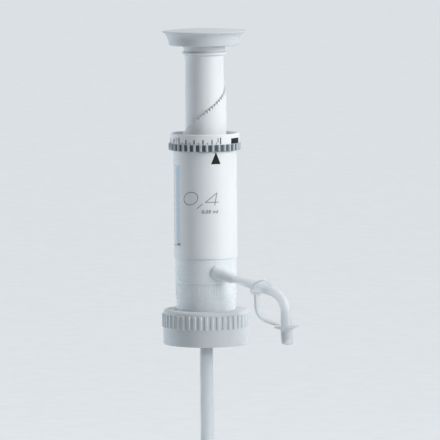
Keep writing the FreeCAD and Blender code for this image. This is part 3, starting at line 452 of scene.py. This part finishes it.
def grip():
    """Ridges on a darker band of painted shade, which shows between them in the notches."""
    base, top = low("grip_ring"), high("grip_ring")
    outer, inner = radius("grip_ring"), radius("scale_ring") + 0.05
    band, inset, chamfer = inner + 0.25, 0.15, 0.35
    outline = [(inner, base + inset), (band, base + inset), (band, top - inset), (inner, top - inset)]
    # The dark band is painted shade: it darkens the notches between the ridges.
    piece("grip_painted_shade_band", lathe(outline), painted_notch_shade, "volume_ring")
    outline = [(inner + 0.02, base), (outer - chamfer, base), (outer, base + chamfer),
               (outer, top - chamfer), (outer - chamfer, top), (inner + 0.02, top)]
    ring = lathe(outline, RING_NOTCHES * 14)
    ridged(ring, RING_NOTCHES, (base, top, outer - 0.6), outer - inner - 0.1, 0.36, NOTCH_PHASE)
    piece("grip_ridges", ring, mid_grey_polypropylene, "volume_ring", ["grip_ring"])


# Print: flat shapes wrapped onto a wall

def wrapped(bm, wall, angle, height, proud=0.03):
    """Bends a flat shape in X and Z round a wall of a radius, centred on an angle and a height, and gives
    it a thickness, from just inside the wall to just proud of it."""
    reach = max(abs(v.co.x) for v in bm.verts)
    slice_width = 0.5
    count = max(2, int(reach / slice_width))
    for i in range(-count, count + 1):
        geometry = bm.verts[:] + bm.edges[:] + bm.faces[:]
        bmesh.ops.bisect_plane(bm, geom=geometry, plane_co=(reach * i / count, 0, 0), plane_no=(1, 0, 0))
    flat = wall + proud
    for corner in bm.verts:
        turn = math.radians(angle) + corner.co.x / wall
        corner.co = (flat * math.sin(turn), -flat * math.cos(turn), height + corner.co.z)
    for face in bm.faces:
        face.normal_update()
        outward = face.calc_center_median()
        outward.z = 0
        if face.normal.dot(outward) < 0:
            face.normal_flip()
    sunk = 0.02
    raised = bmesh.ops.extrude_face_region(bm, geom=bm.faces[:])["geom"]
    for corner in corners_in(raised):
        corner.co.xy *= (wall + 2 * proud) / flat
    for corner in bm.verts:
        distance = corner.co.xy.length
        if distance < wall + 1.5 * proud:
            corner.co.xy *= (wall - sunk) / distance
    bmesh.ops.recalc_face_normals(bm, faces=bm.faces)
    return bm


UPRIGHT = Matrix.Rotation(math.radians(90), 3, "X")


def flat_bar(width, height):
    bm = bmesh.new()
    bmesh.ops.create_grid(bm, x_segments=1, y_segments=1, size=0.5)
    bmesh.ops.rotate(bm, verts=bm.verts, matrix=UPRIGHT)
    bmesh.ops.scale(bm, vec=(width, 1, height), verts=bm.verts)
    return bm


def flat_triangle(width, height):
    bm = bmesh.new()
    corners = [bm.verts.new(p) for p in ((-width / 2, 0, 0), (width / 2, 0, 0), (0, 0, height))]
    bm.faces.new(corners)
    return bm


def flat_text(words, size, lean=0.0, thin=0.0, wide=1.0):
    """Plain figures as a flat mesh, centred: thin moves each stroke's outline, and wide stretches."""
    curve = bpy.data.curves.new("figures", "FONT")
    curve.body = words
    curve.size = size
    curve.shear = lean
    curve.offset = thin
    curve.align_x = "CENTER"
    curve.align_y = "CENTER"
    curve.resolution_u = 4
    holder = placed("figures", curve)
    mesh = evaluated(holder)
    bm = bmesh.new()
    bm.from_mesh(mesh)
    bpy.data.objects.remove(holder)
    bpy.data.curves.remove(curve)
    bpy.data.meshes.remove(mesh)
    bmesh.ops.remove_doubles(bm, verts=bm.verts, dist=0.0005)
    bmesh.ops.rotate(bm, verts=bm.verts, matrix=UPRIGHT)
    bmesh.ops.scale(bm, vec=(wide, 1, 1), verts=bm.verts)
    return bm


FULL_VOLUME = 2
MARK_FULL = 27.0
DEGREES_PER_ML = 150
MARK_EVERY = 0.05
FIRST_MARK, LAST_MARK = 8, 40


def mark_angle(volume):
    return MARK_FULL - (FULL_VOLUME - volume) * DEGREES_PER_ML


def volume_marks():
    """Marks every 0.05 ml, longer every 0.1 ml, with figures at the round volumes and a black field."""
    wall = radius("scale_ring")
    foot = high("grip_ring") + 0.25
    marks = []
    for step in range(FIRST_MARK, LAST_MARK + 1):
        if step % 10 == 0:
            width, height = 0.65, 4.0
        elif step % 2 == 0:
            width, height = 0.6, 2.8
        else:
            width, height = 0.3, 1.1
        marks.append(wrapped(flat_bar(width, height), wall, mark_angle(step * MARK_EVERY), foot + height / 2))
    left_of_mark, per_letter = 4.6, 2.0
    figure_size, figure_height = 3.1, foot + 2.35
    for figure, volume in (("2", 2.0), ("1.5", 1.5), ("1", 1.0), ("0.5", 0.5)):
        angle = mark_angle(volume) - left_of_mark - per_letter * (len(figure) - 1)
        marks.append(wrapped(flat_text(figure, figure_size), wall, angle, figure_height))
    field_width, field_height, field_angle = 9.7, 3.3, 62.3
    marks.append(wrapped(flat_bar(field_width, field_height), wall, field_angle, foot + 1.5))
    piece("volume_marks", joined(*marks), black_ink, "volume_ring")


PEN = 0.55
LEAN = 0.2


def stroke(start, end):
    """A straight pen stroke between two places in a flat drawing of (across, height)."""
    start, end = Vector(start), Vector(end)
    along = end - start
    bm = flat_bar(along.length + PEN * 0.6, PEN)
    middle = (start + end) / 2
    turn = Matrix.Rotation(-math.atan2(along.y, along.x), 4, "Y")
    bmesh.ops.transform(bm, matrix=Matrix.Translation((middle.x, 0, middle.y)) @ turn, verts=bm.verts)
    return bm


def flat_oval(width, height):
    """A leaning oval drawn with the pen."""
    bm = bmesh.new()
    for inset in (0, PEN):
        made = bmesh.ops.create_circle(bm, cap_ends=False, radius=0.5, segments=48)["verts"]
        bmesh.ops.scale(bm, vec=(width - inset * 2, height - inset * 2, 1), verts=made)
    bmesh.ops.bridge_loops(bm, edges=bm.edges[:])
    bmesh.ops.rotate(bm, verts=bm.verts, matrix=UPRIGHT)
    for corner in bm.verts:
        corner.co.x += LEAN * corner.co.z
    return bm


def housing_print():
    """The pointer, and the figures of the range in grey with those of one step in black below them."""
    wall = radius("housing")
    pointer_angle, pointer_foot = 20, high("housing") - 7.6
    piece("pointer", wrapped(flat_triangle(6.2, 7.5), wall, pointer_angle, pointer_foot), black_ink)
    nought_angle, nought_height = -27.4, 76.65
    nought = wrapped(flat_oval(10.2, 8.4), wall, nought_angle, nought_height)
    peak, foot = (7.4, 80.1), (5.9, 72.6)
    bar_start, bar_end = (0, 74.4), (8.2, 74.4)
    comma_head, comma_tail = (-1.9, 73.3), (-5.1, 70.5)
    four = joined(stroke(peak, foot), stroke(bar_start, bar_end), stroke(peak, bar_start),
                  stroke(comma_head, comma_tail))
    piece("range_figures", joined(nought, wrapped(four, wall, 0, 0)), grey_ink)
    small_angle, small_height = 7.5, 68.45
    small = flat_text("0,05 ml", 2.9, LEAN, thin=0.005, wide=1.2)
    piece("step_figures", wrapped(small, wall, small_angle, small_height), black_ink)


# Housing, pane and what stands inside

WINDOW_ANGLE = 76
WINDOW_MIDDLE = -90
HOUSING_WALL = 1.65


def tube_outline(inner, outer, base, top):
    return [(inner, base), (outer, base), (outer, top), (inner, top)]


def window_part(outline, sweep):
    """Turns an outline through an angle about the window's middle."""
    return lathe(outline, 48, sweep, WINDOW_MIDDLE - sweep / 2)


def housing_shell():
    outer = radius("housing")
    inner = outer - HOUSING_WALL
    shell = lathe(tube_outline(inner, outer, low("housing"), high("housing")))
    made = piece("housing_shell", soften(shell, 0.25, 60), white_polypropylene,
                 nodes=["housing"])
    gap, past = 0.02, 2
    opening = tube_outline(inner - past, outer + past, low("window_pane") - gap, high("window_pane") + gap)
    combined(made, window_part(opening, WINDOW_ANGLE), "DIFFERENCE")
    edge = made.modifiers.new("window_edge", "BEVEL")
    edge.width = 0.1 * MM
    edge.segments = 2
    edge.harden_normals = True
    edge.limit_method = "ANGLE"
    edge.angle_limit = math.radians(60)


def pane():
    outer = radius("housing") - 0.25
    thickness, play = 1.2, 0.6
    outline = tube_outline(outer - thickness, outer, low("window_pane"), high("window_pane"))
    bm = window_part(outline, WINDOW_ANGLE - play)
    piece("window", soften(bm, 0.05, 50), clear_polycarbonate, nodes=["window_pane"])


def cylinder():
    """The glass bore, with a rounded end that funnels the piston in."""
    base, top = low("glass_cylinder"), high("glass_cylinder")
    bore, outer, lip = 3.5, 5.5, 0.4
    outline = [(bore, base), (outer, base)] + arc((outer - lip, top - lip), lip, 0, 90, 4)
    outline += [(bore + 0.7, top), (bore, top - 0.9)]
    piece("bore_glass", soften(lathe(outline, 96), 0.1, 60), borosilicate_glass,
          nodes=["glass_cylinder"])


# Valve block

NOZZLE_TURN = math.radians(60)
NOZZLE_SLOPE = math.radians(14.2)
BEND_ANGLE = math.radians(72.8)
LEVEL = Vector((math.sin(NOZZLE_TURN), -math.cos(NOZZLE_TURN), 0))
ASIDE = LEVEL.cross(UP)
ROOT_TURN = math.radians(22.8)
ROOT_REACH, ROOT_HEIGHT = 17.3, 30.6
ROOT = Vector((math.sin(ROOT_TURN), -math.cos(ROOT_TURN), 0)) * ROOT_REACH + UP * ROOT_HEIGHT
RUN = LEVEL * math.cos(NOZZLE_SLOPE) - UP * math.sin(NOZZLE_SLOPE)
BEND_START = 40.37
BEND_RADIUS = 12.5
BOSS_LENGTH = 14.0
BLOCK_RIBS = 70


def block():
    """From below: plug, neck with the clip's groove, ribbed waist and wider top, and inside the housing
    a spigot and the hub that holds the glass. The boss for the nozzle is joined on."""
    waist, outer = 18.5, 19.2
    base, seat = low("valve_block"), 1.2
    step, top = 23.6, 38.8
    plug = 12.6
    groove, groove_from, groove_to = 17.1, 2.2, 3.6
    rib, ribs_from, ribs_to, rib_phase = 0.4, 13.9, step - 0.8, 5.73
    spigot, spigot_bore, spigot_top = 18, 15.2, top + 4
    hub, hub_bore, hub_top, hub_floor = 7.6, 5.6, top + 6.2, top - 0.6
    outline = [
        (0, base), (plug, base), (plug, seat), (waist, seat), (waist, groove_from), (groove, groove_from),
        (groove, groove_to), (waist, groove_to), (waist, ribs_from - 0.1), (waist + rib, ribs_from),
        (waist + rib, ribs_to), (waist, ribs_to + 0.1), (waist, step - 0.5), (outer - 0.25, step),
        (outer, step + 0.3), (outer, top - 0.2), (outer - 0.2, top), (spigot, top), (spigot, spigot_top),
        (spigot_bore, spigot_top), (spigot_bore, top), (hub, top), (hub, hub_top), (hub_bore, hub_top),
        (hub_bore, hub_floor), (0, hub_floor),
    ]
    core = lathe(outline, BLOCK_RIBS * 8)
    rows = (ribs_from - 0.01, ribs_to + 0.01, waist + 0.1)
    ridged(core, BLOCK_RIBS, rows, rib, 0.5, rib_phase)
    made = piece("block_moulding", core, natural_polypropylene, nodes=["valve_block"])
    ball = 5.3
    taper = [(4.65, 3.6), (3.9, 8.0), (3.1, 12.4), (2.75, 13.8), (2.6, BOSS_LENGTH), (0, BOSS_LENGTH)]
    boss = lathe([(0, -ball)] + arc((0, 0), ball, -80, 0, 12) + taper, 96)
    combined(made, aimed(boss, ROOT, RUN), "UNION")


def valve_spring():
    """The spring behind the discharge ball, which in use shortens by as much as the ball lifts, gets a mesh
    of its own.
    """
    spring = frame["nodes"]["discharge_spring"]
    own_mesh(spring)


# Nozzle, cap and strap

def nozzle_path():
    """In mm: where the bend starts, its centre, where it ends, and the direction from there."""
    start = ROOT + RUN * BEND_START
    inward = ASIDE.cross(RUN).normalized() * -1
    centre = start + inward * BEND_RADIUS
    turn = Matrix.Rotation(-BEND_ANGLE, 3, ASIDE)
    return start, centre, centre - turn @ inward * BEND_RADIUS, turn @ RUN


BEND_FROM, BEND_CENTRE, BEND_TO, TIP_RUN = nozzle_path()
DROP = 9.6
NOZZLE_END = BEND_TO + TIP_RUN * DROP


def grown(bm, ring, move, about, size):
    """Extrudes an open ring of edges along a move and sets its size about a centre."""
    result = bmesh.ops.extrude_edge_only(bm, edges=ring)["geom"]
    verts = corners_in(result)
    bmesh.ops.translate(bm, vec=move, verts=verts)
    centre = about + move
    for corner in verts:
        corner.co = centre + (corner.co - centre) * size
    return edges_in(result)


def nozzle():
    """One skin from the boss to the open end, down round the bend, over the tip and back up inside."""
    start, bend, end, tip, bore = 2.4, 3.1, 3.3, 2.4, 1.6
    tip_length, bore_depth, chamfer = 9, 17.8, 0.3
    shoulder, shoulder_width = 0.5, 3.05
    bm = bmesh.new()
    bmesh.ops.create_circle(bm, cap_ends=False, radius=start, segments=48)
    inside_boss = 1.5
    root = ROOT + RUN * (BOSS_LENGTH - inside_boss)
    aimed(bm, root, RUN)
    ring = bm.edges[:]
    ring = grown(bm, ring, BEND_FROM - root, root, bend / start)
    spun = bmesh.ops.spin(bm, geom=ring, axis=ASIDE, cent=BEND_CENTRE, steps=28, angle=-BEND_ANGLE)
    ring = edges_in(spun["geom_last"])
    place = BEND_TO
    for length, size in ((DROP - shoulder, end / bend), (0.3, 1.0), (0.2, shoulder_width / end),
                         (0, tip / shoulder_width), (tip_length - chamfer, 1.0),
                         (chamfer, (tip - chamfer) / tip), (0, bore / (tip - chamfer)),
                         (-bore_depth, 1.0)):
        ring = grown(bm, ring, TIP_RUN * length, place, size)
        place = place + TIP_RUN * length
    holes = [e for e in bm.edges if e.is_boundary]
    bmesh.ops.holes_fill(bm, edges=holes)
    bmesh.ops.recalc_face_normals(bm, faces=bm.faces)
    piece("nozzle_tube", bm, cloudy_fluoropolymer, nodes=["nozzle"], crease=35)


def cap():
    """A closed sleeve that widens below its flange, with a lip round its mouth."""
    length, flange, sleeve, foot = 11.3, 7.5, 3.6, 1.1
    bore, floor = 2.6, 1.6
    mouth, mouth_top = 3.45, length + 0.5
    outline = [(0, 0), (0.8, 0)] + arc((sleeve - 0.2 - foot, foot), foot, -90, 0, 8)
    outline += [(sleeve - 0.02, 8.4), (sleeve + 0.25, 9.0), (4.6, 9.6), (flange - 0.3, 10.55),
                (flange, 10.8), (flange, 11.0), (flange - 0.25, length - 0.05), (4.4, length + 0.15),
                (sleeve + 0.1, mouth_top), (mouth, mouth_top), (mouth, length), (bore, length),
                (bore, floor), (0, floor)]
    bottom = NOZZLE_END + TIP_RUN * (length + 0.1)
    bm = aimed(lathe(outline, 96), bottom, -TIP_RUN)
    piece("tip_cap", bm, cloudy_fluoropolymer, "nozzle_cap", ["nozzle_cap"])


RING_TURN = math.radians(28)
RING_TILT = math.radians(42.6)
RING_LEVEL = Vector((math.sin(RING_TURN), -math.cos(RING_TURN), 0))
RING_UP = RING_LEVEL * math.cos(RING_TILT) - UP * math.sin(RING_TILT)
RING_PLACE = 32.2
RING_CENTRE = ROOT + RUN * RING_PLACE
RING_OUTER = 7.0
RING_HALF = 0.75
STRAP_BEND = 10.2
STRAP_LOW = 11.7
STRAP_SLOPE = math.radians(13)


def strap_frame():
    """The ring's lowest place, and the level directions from it to the nozzle's end and across that."""
    down = (RING_UP * RING_UP.dot(UP) - UP).normalized()
    lowest = RING_CENTRE + down * (RING_OUTER - RING_HALF) - UP * RING_HALF
    way = NOZZLE_END - lowest
    way.z = 0
    return lowest, way.length, way.normalized(), way.normalized().cross(UP)


def strap():
    """Flat band: down from the ring, round its bend and on to the cap's flange."""
    lowest, reach, level, aside = strap_frame()
    thickness, width = 1.3, 4.6
    place, top = -0.45, lowest.z + 0.9
    end = reach - 6.9

    def at(s, z):
        return Vector((lowest.x, lowest.y, 0)) + level * s + UP * z

    bm = bmesh.new()
    bmesh.ops.create_grid(bm, x_segments=1, y_segments=1, size=0.5)
    bmesh.ops.scale(bm, vec=(thickness, width, 1), verts=bm.verts)
    bmesh.ops.transform(bm, matrix=Matrix((level, aside, UP)).transposed().to_4x4(), verts=bm.verts)
    bmesh.ops.translate(bm, vec=at(place, top), verts=bm.verts)
    face = bm.faces[:]

    def on(move, narrower=1.0):
        """Extrudes the band's end face. The first one stays as the band's start."""
        nonlocal face
        is_start = len(bm.faces) == 1
        result = bmesh.ops.extrude_face_region(bm, geom=face)["geom"]
        if not is_start:
            bmesh.ops.delete(bm, geom=face, context="FACES_ONLY")
        verts = corners_in(result)
        bmesh.ops.translate(bm, vec=move, verts=verts)
        middle = sum((v.co for v in verts), Vector()) / len(verts)
        for corner in verts:
            side = (corner.co - middle).dot(aside)
            corner.co += aside * side * (narrower - 1)
        face = faces_in(result)

    for _ in range(4):
        on(UP * (STRAP_LOW - top) / 4, 0.99)
    turn = math.pi / 2 - STRAP_SLOPE
    spun = bmesh.ops.spin(bm, geom=face, axis=aside, cent=at(place + STRAP_BEND, STRAP_LOW), steps=20,
                          angle=turn)
    bmesh.ops.delete(bm, geom=face, context="FACES_ONLY")
    face = faces_in(spun["geom_last"])
    along = level * math.cos(STRAP_SLOPE) - UP * math.sin(STRAP_SLOPE)
    gone = place + STRAP_BEND * (1 - math.sin(STRAP_SLOPE))
    left = (end - gone) / math.cos(STRAP_SLOPE)
    for _ in range(3):
        on(along * left / 3)
    bmesh.ops.remove_doubles(bm, verts=bm.verts, dist=0.001)
    bmesh.ops.recalc_face_normals(bm, faces=bm.faces)
    soften(bm, 0.3, 60)
    made = piece("strap_band", bm, cloudy_fluoropolymer, body=None, nodes=["cap_strap"])
    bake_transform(made)


def strap_loop():
    inner, half = 4.8, RING_HALF
    outline = [(inner + 0.3, -half)] + arc((RING_OUTER - half, 0), half, -90, 90, 8)
    outline += [(inner + 0.3, half)] + arc((inner + 0.3, 0), half * 0.6, 120, 240, 4)
    bm = aimed(lathe(outline, 96), RING_CENTRE, RING_UP)
    piece("strap_loop", bm, cloudy_fluoropolymer, nodes=["strap_ring"])


# Screw collar and suction tube

COLLAR_RIBS = 45
COLLAR_BORE = 22.6


def collar():
    """A cap nut with a wide hole in its lid, round-shouldered, with square ribs over half its height."""
    base, top = low("screw_collar"), high("screw_collar")
    tip, skirt, hole = radius("screw_collar"), 26.7, 19.1
    foot, shoulder, lid = 0.7, 2.2, 2.7
    rib, ribs_from, ribs_to = 0.78, -4.05, 4.05
    outline = [(COLLAR_BORE, base), (skirt - foot, base)]
    outline += arc((skirt - foot, base + foot), foot, -90, 0, 4)[1:]
    outline += [(skirt, ribs_from - 0.25), (tip, ribs_from), (tip, ribs_to - 0.3), (skirt + 0.25, ribs_to),
                (skirt, ribs_to + 0.1)]
    outline += arc((skirt - shoulder, top - shoulder), shoulder, 0, 90, 10)
    outline += [(hole + 0.3, top), (hole, top - 0.3), (hole, top - lid), (COLLAR_BORE, top - lid)]
    shell = lathe(outline, COLLAR_RIBS * 12)
    ridged(shell, COLLAR_RIBS, (ribs_from - 0.01, ribs_to - 0.2, skirt + 0.01), rib, 0.5, 0)
    piece("ribbed_collar", shell, pale_grey_polypropylene, "screw_collar",
          ["screw_collar"])


def collar_thread():
    """The 45 mm thread inside, 4 mm pitch: a ridge turned along a helix on the bore's wall."""
    pitch, turns, per_turn = 4.0, 2.6, 72
    root, crest = COLLAR_BORE + 0.15, COLLAR_BORE - 0.75
    bm = bmesh.new()
    base = low("screw_collar") + 2.2
    section = [(root, -1.2), (root, 1.2), (crest, 0.35), (crest, -0.35)]
    corners = [bm.verts.new((0, -r, base + z)) for r, z in section]
    bm.faces.new(corners)
    steps = int(turns * per_turn)
    bmesh.ops.spin(bm, geom=bm.verts[:] + bm.edges[:] + bm.faces[:], axis=UP, cent=(0, 0, 0), steps=steps,
                   angle=math.radians(turns * 360), dvec=(0, 0, pitch / per_turn))
    bmesh.ops.recalc_face_normals(bm, faces=bm.faces)
    piece("collar_thread", bm, pale_grey_polypropylene, "screw_collar")


def suction_tube():
    """A drawn tube whose lower end is cut slantwise."""
    base, top = low("suction_tube"), high("suction_tube")
    outer, bore = 4.0, 3.0
    slant = math.radians(40)
    bm = lathe(tube_outline(bore, outer, base, top), 64)
    bmesh.ops.bisect_plane(bm, geom=bm.verts[:] + bm.edges[:] + bm.faces[:], plane_co=(-outer, 0, base),
                           plane_no=(math.sin(slant), 0, -math.cos(slant)), clear_outer=True)
    rims = [e for e in bm.edges if e.is_boundary]
    bmesh.ops.bridge_loops(bm, edges=rims)
    bmesh.ops.recalc_face_normals(bm, faces=bm.faces)
    piece("dip_tube", bm, cloudy_fluoropolymer, nodes=["suction_tube"])


# Finishes of the pieces that stay as the frame has them

KEPT = {
    "white_plastic": white_polypropylene,
    "grey_plastic": pale_grey_polypropylene,
    "natural_plastic": natural_polypropylene,
    "clear_pane": clear_polycarbonate,
    "borosilicate": borosilicate_glass,
    "white_ptfe": turned_ptfe,
    "seal_rubber": fluororubber,
    "stainless": turned_stainless,
}


def dress_kept():
    slots = {row["node"]: row["material_slot"] for row in frame["record"]["subparts"]}
    for name, node in frame["nodes"].items():
        node.data.materials.clear()
        node.data.materials.append(KEPT[slots[name]])


# Floor, backdrop, light and camera

def seen_ray(tree):
    """One for a ray that comes from the camera, from a glossy surface or out of a clear piece."""
    path = add(tree, "ShaderNodeLightPath")
    direct = add(tree, "ShaderNodeMath", {"operation": "MAXIMUM"}, i0=(path, "Is Camera Ray"),
                 i1=(path, "Is Transmission Ray"))
    return add(tree, "ShaderNodeMath", {"operation": "MAXIMUM"}, i0=(direct, 0), i1=(path, "Is Glossy Ray"))


def paper_finish(name, code):
    """Pale paper. Most of what is seen of it has a set brightness, and the rest takes the shadow.
    Clouds is how many soft patches of its two tones lie in a metre."""
    clouds, set_share = 60.0, 0.85
    material = bpy.data.materials.new(name)
    material.use_nodes = True
    tree = material.node_tree
    tree.nodes.clear()
    place = add(tree, "ShaderNodeTexCoord")
    fibre = add(tree, "ShaderNodeTexNoise", Vector=(place, "Object"), Scale=clouds, Detail=4.0)
    tone = add(tree, "ShaderNodeMix", {"data_type": "RGBA"}, Factor=(fibre, "Fac"), i6=linear(code),
               i7=linear("#EEF2F5"))
    paper = add(tree, "ShaderNodeBsdfDiffuse", Color=(tone, 2))
    glow = add(tree, "ShaderNodeEmission", Color=(tone, 2), Strength=1.0)
    share = add(tree, "ShaderNodeMath", {"operation": "MULTIPLY"}, i0=(seen_ray(tree), 0), i1=set_share)
    mixed = add(tree, "ShaderNodeMixShader", i0=(share, 0), i1=(paper, 0), i2=(glow, 0))
    add(tree, "ShaderNodeOutputMaterial", Surface=(mixed, 0))
    return material


def stage():
    """A wide floor that runs out to the horizon, a little below the suction tube. Its reach is in metres."""
    reach, clearance = 60, 4
    bm = bmesh.new()
    bmesh.ops.create_circle(bm, cap_ends=True, segments=96, radius=reach)
    bmesh.ops.translate(bm, vec=(0, 0, (low("suction_tube") - clearance) * MM), verts=bm.verts)
    mesh = mesh_of("floor", bm)
    mesh.materials.append(paper_finish("pale_paper", "#E3E9EE"))
    placed("floor", mesh)


def lamp(name, place, target, size, power, colour=(1, 1, 1)):
    """A rectangular lamp that faces a target, with its size in metres and its power in watts."""
    light = bpy.data.lights.new(name, "AREA")
    light.shape = "RECTANGLE"
    light.size, light.size_y = size
    light.energy = power
    light.color = colour
    made = placed(name, light)
    made.location = place
    made.rotation_euler = (Vector(target) - Vector(place)).to_track_quat("-Z", "Y").to_euler()
    return made


def lights():
    """A large soft lamp on the right, a cool one behind on the left that no glass or gloss shows, and a
    weak one overhead."""
    middle = (0.01, 0, 0.08)
    lamp("key_right", (1.45, -0.68, 0.76), middle, (1.3, 1.0), 25)
    rim = lamp("rim_left", (-1.28, 0.62, 0.12), middle, (0.3, 1.2), 14, (0.84, 0.92, 1.0))
    rim.visible_glossy = False
    rim.visible_transmission = False
    lamp("top_soft", (0.25, -0.1, 1.5), middle, (1.2, 1.2), 8)


def sky():
    """A dim room round the part, which is seen as pale as the floor."""
    world = bpy.data.worlds.new("studio")
    bpy.context.scene.world = world
    world.use_nodes = True
    tree = world.node_tree
    tree.nodes.clear()
    dim = add(tree, "ShaderNodeBackground", Color=linear("#E4EAF0"), Strength=0.2)
    pale = add(tree, "ShaderNodeBackground", Color=linear("#E0E6EB"), Strength=1.0)
    mixed = add(tree, "ShaderNodeMixShader", i0=(seen_ray(tree), 0), i1=(dim, 0), i2=(pale, 0))
    add(tree, "ShaderNodeOutputWorld", Surface=(mixed, 0))


def camera():
    """A long lens far away, a little above the part, as in the photograph."""
    distance, elevation, roll = 3.2, math.radians(5.1), math.radians(-0.45)
    target = Vector((0.0090, 0, 0.0617))
    data = bpy.data.cameras.new("camera")
    data.sensor_width = 36
    data.lens = 422
    data.clip_start = 0.1
    data.clip_end = 200
    eye = placed("camera", data)
    back = Vector((0, -math.cos(elevation), math.sin(elevation)))
    eye.location = target + back * distance
    look = (-back).to_track_quat("-Z", "Y").to_matrix()
    eye.rotation_euler = (look @ Matrix.Rotation(roll, 3, "Z")).to_euler()
    bpy.context.scene.camera = eye


camera()
stage()
lights()
sky()
dress_kept()
for make in (
    knob, knob_dome, knob_neck, plunger_sleeve, scale_rim, grip, volume_marks, housing_shell,
    housing_print, pane, cylinder, block, valve_spring, nozzle, cap, strap, strap_loop, collar, collar_thread,
    suction_tube,
):
    make()
bpy.context.scene.view_settings.view_transform = "Standard"

bpy.context.view_layer.update()
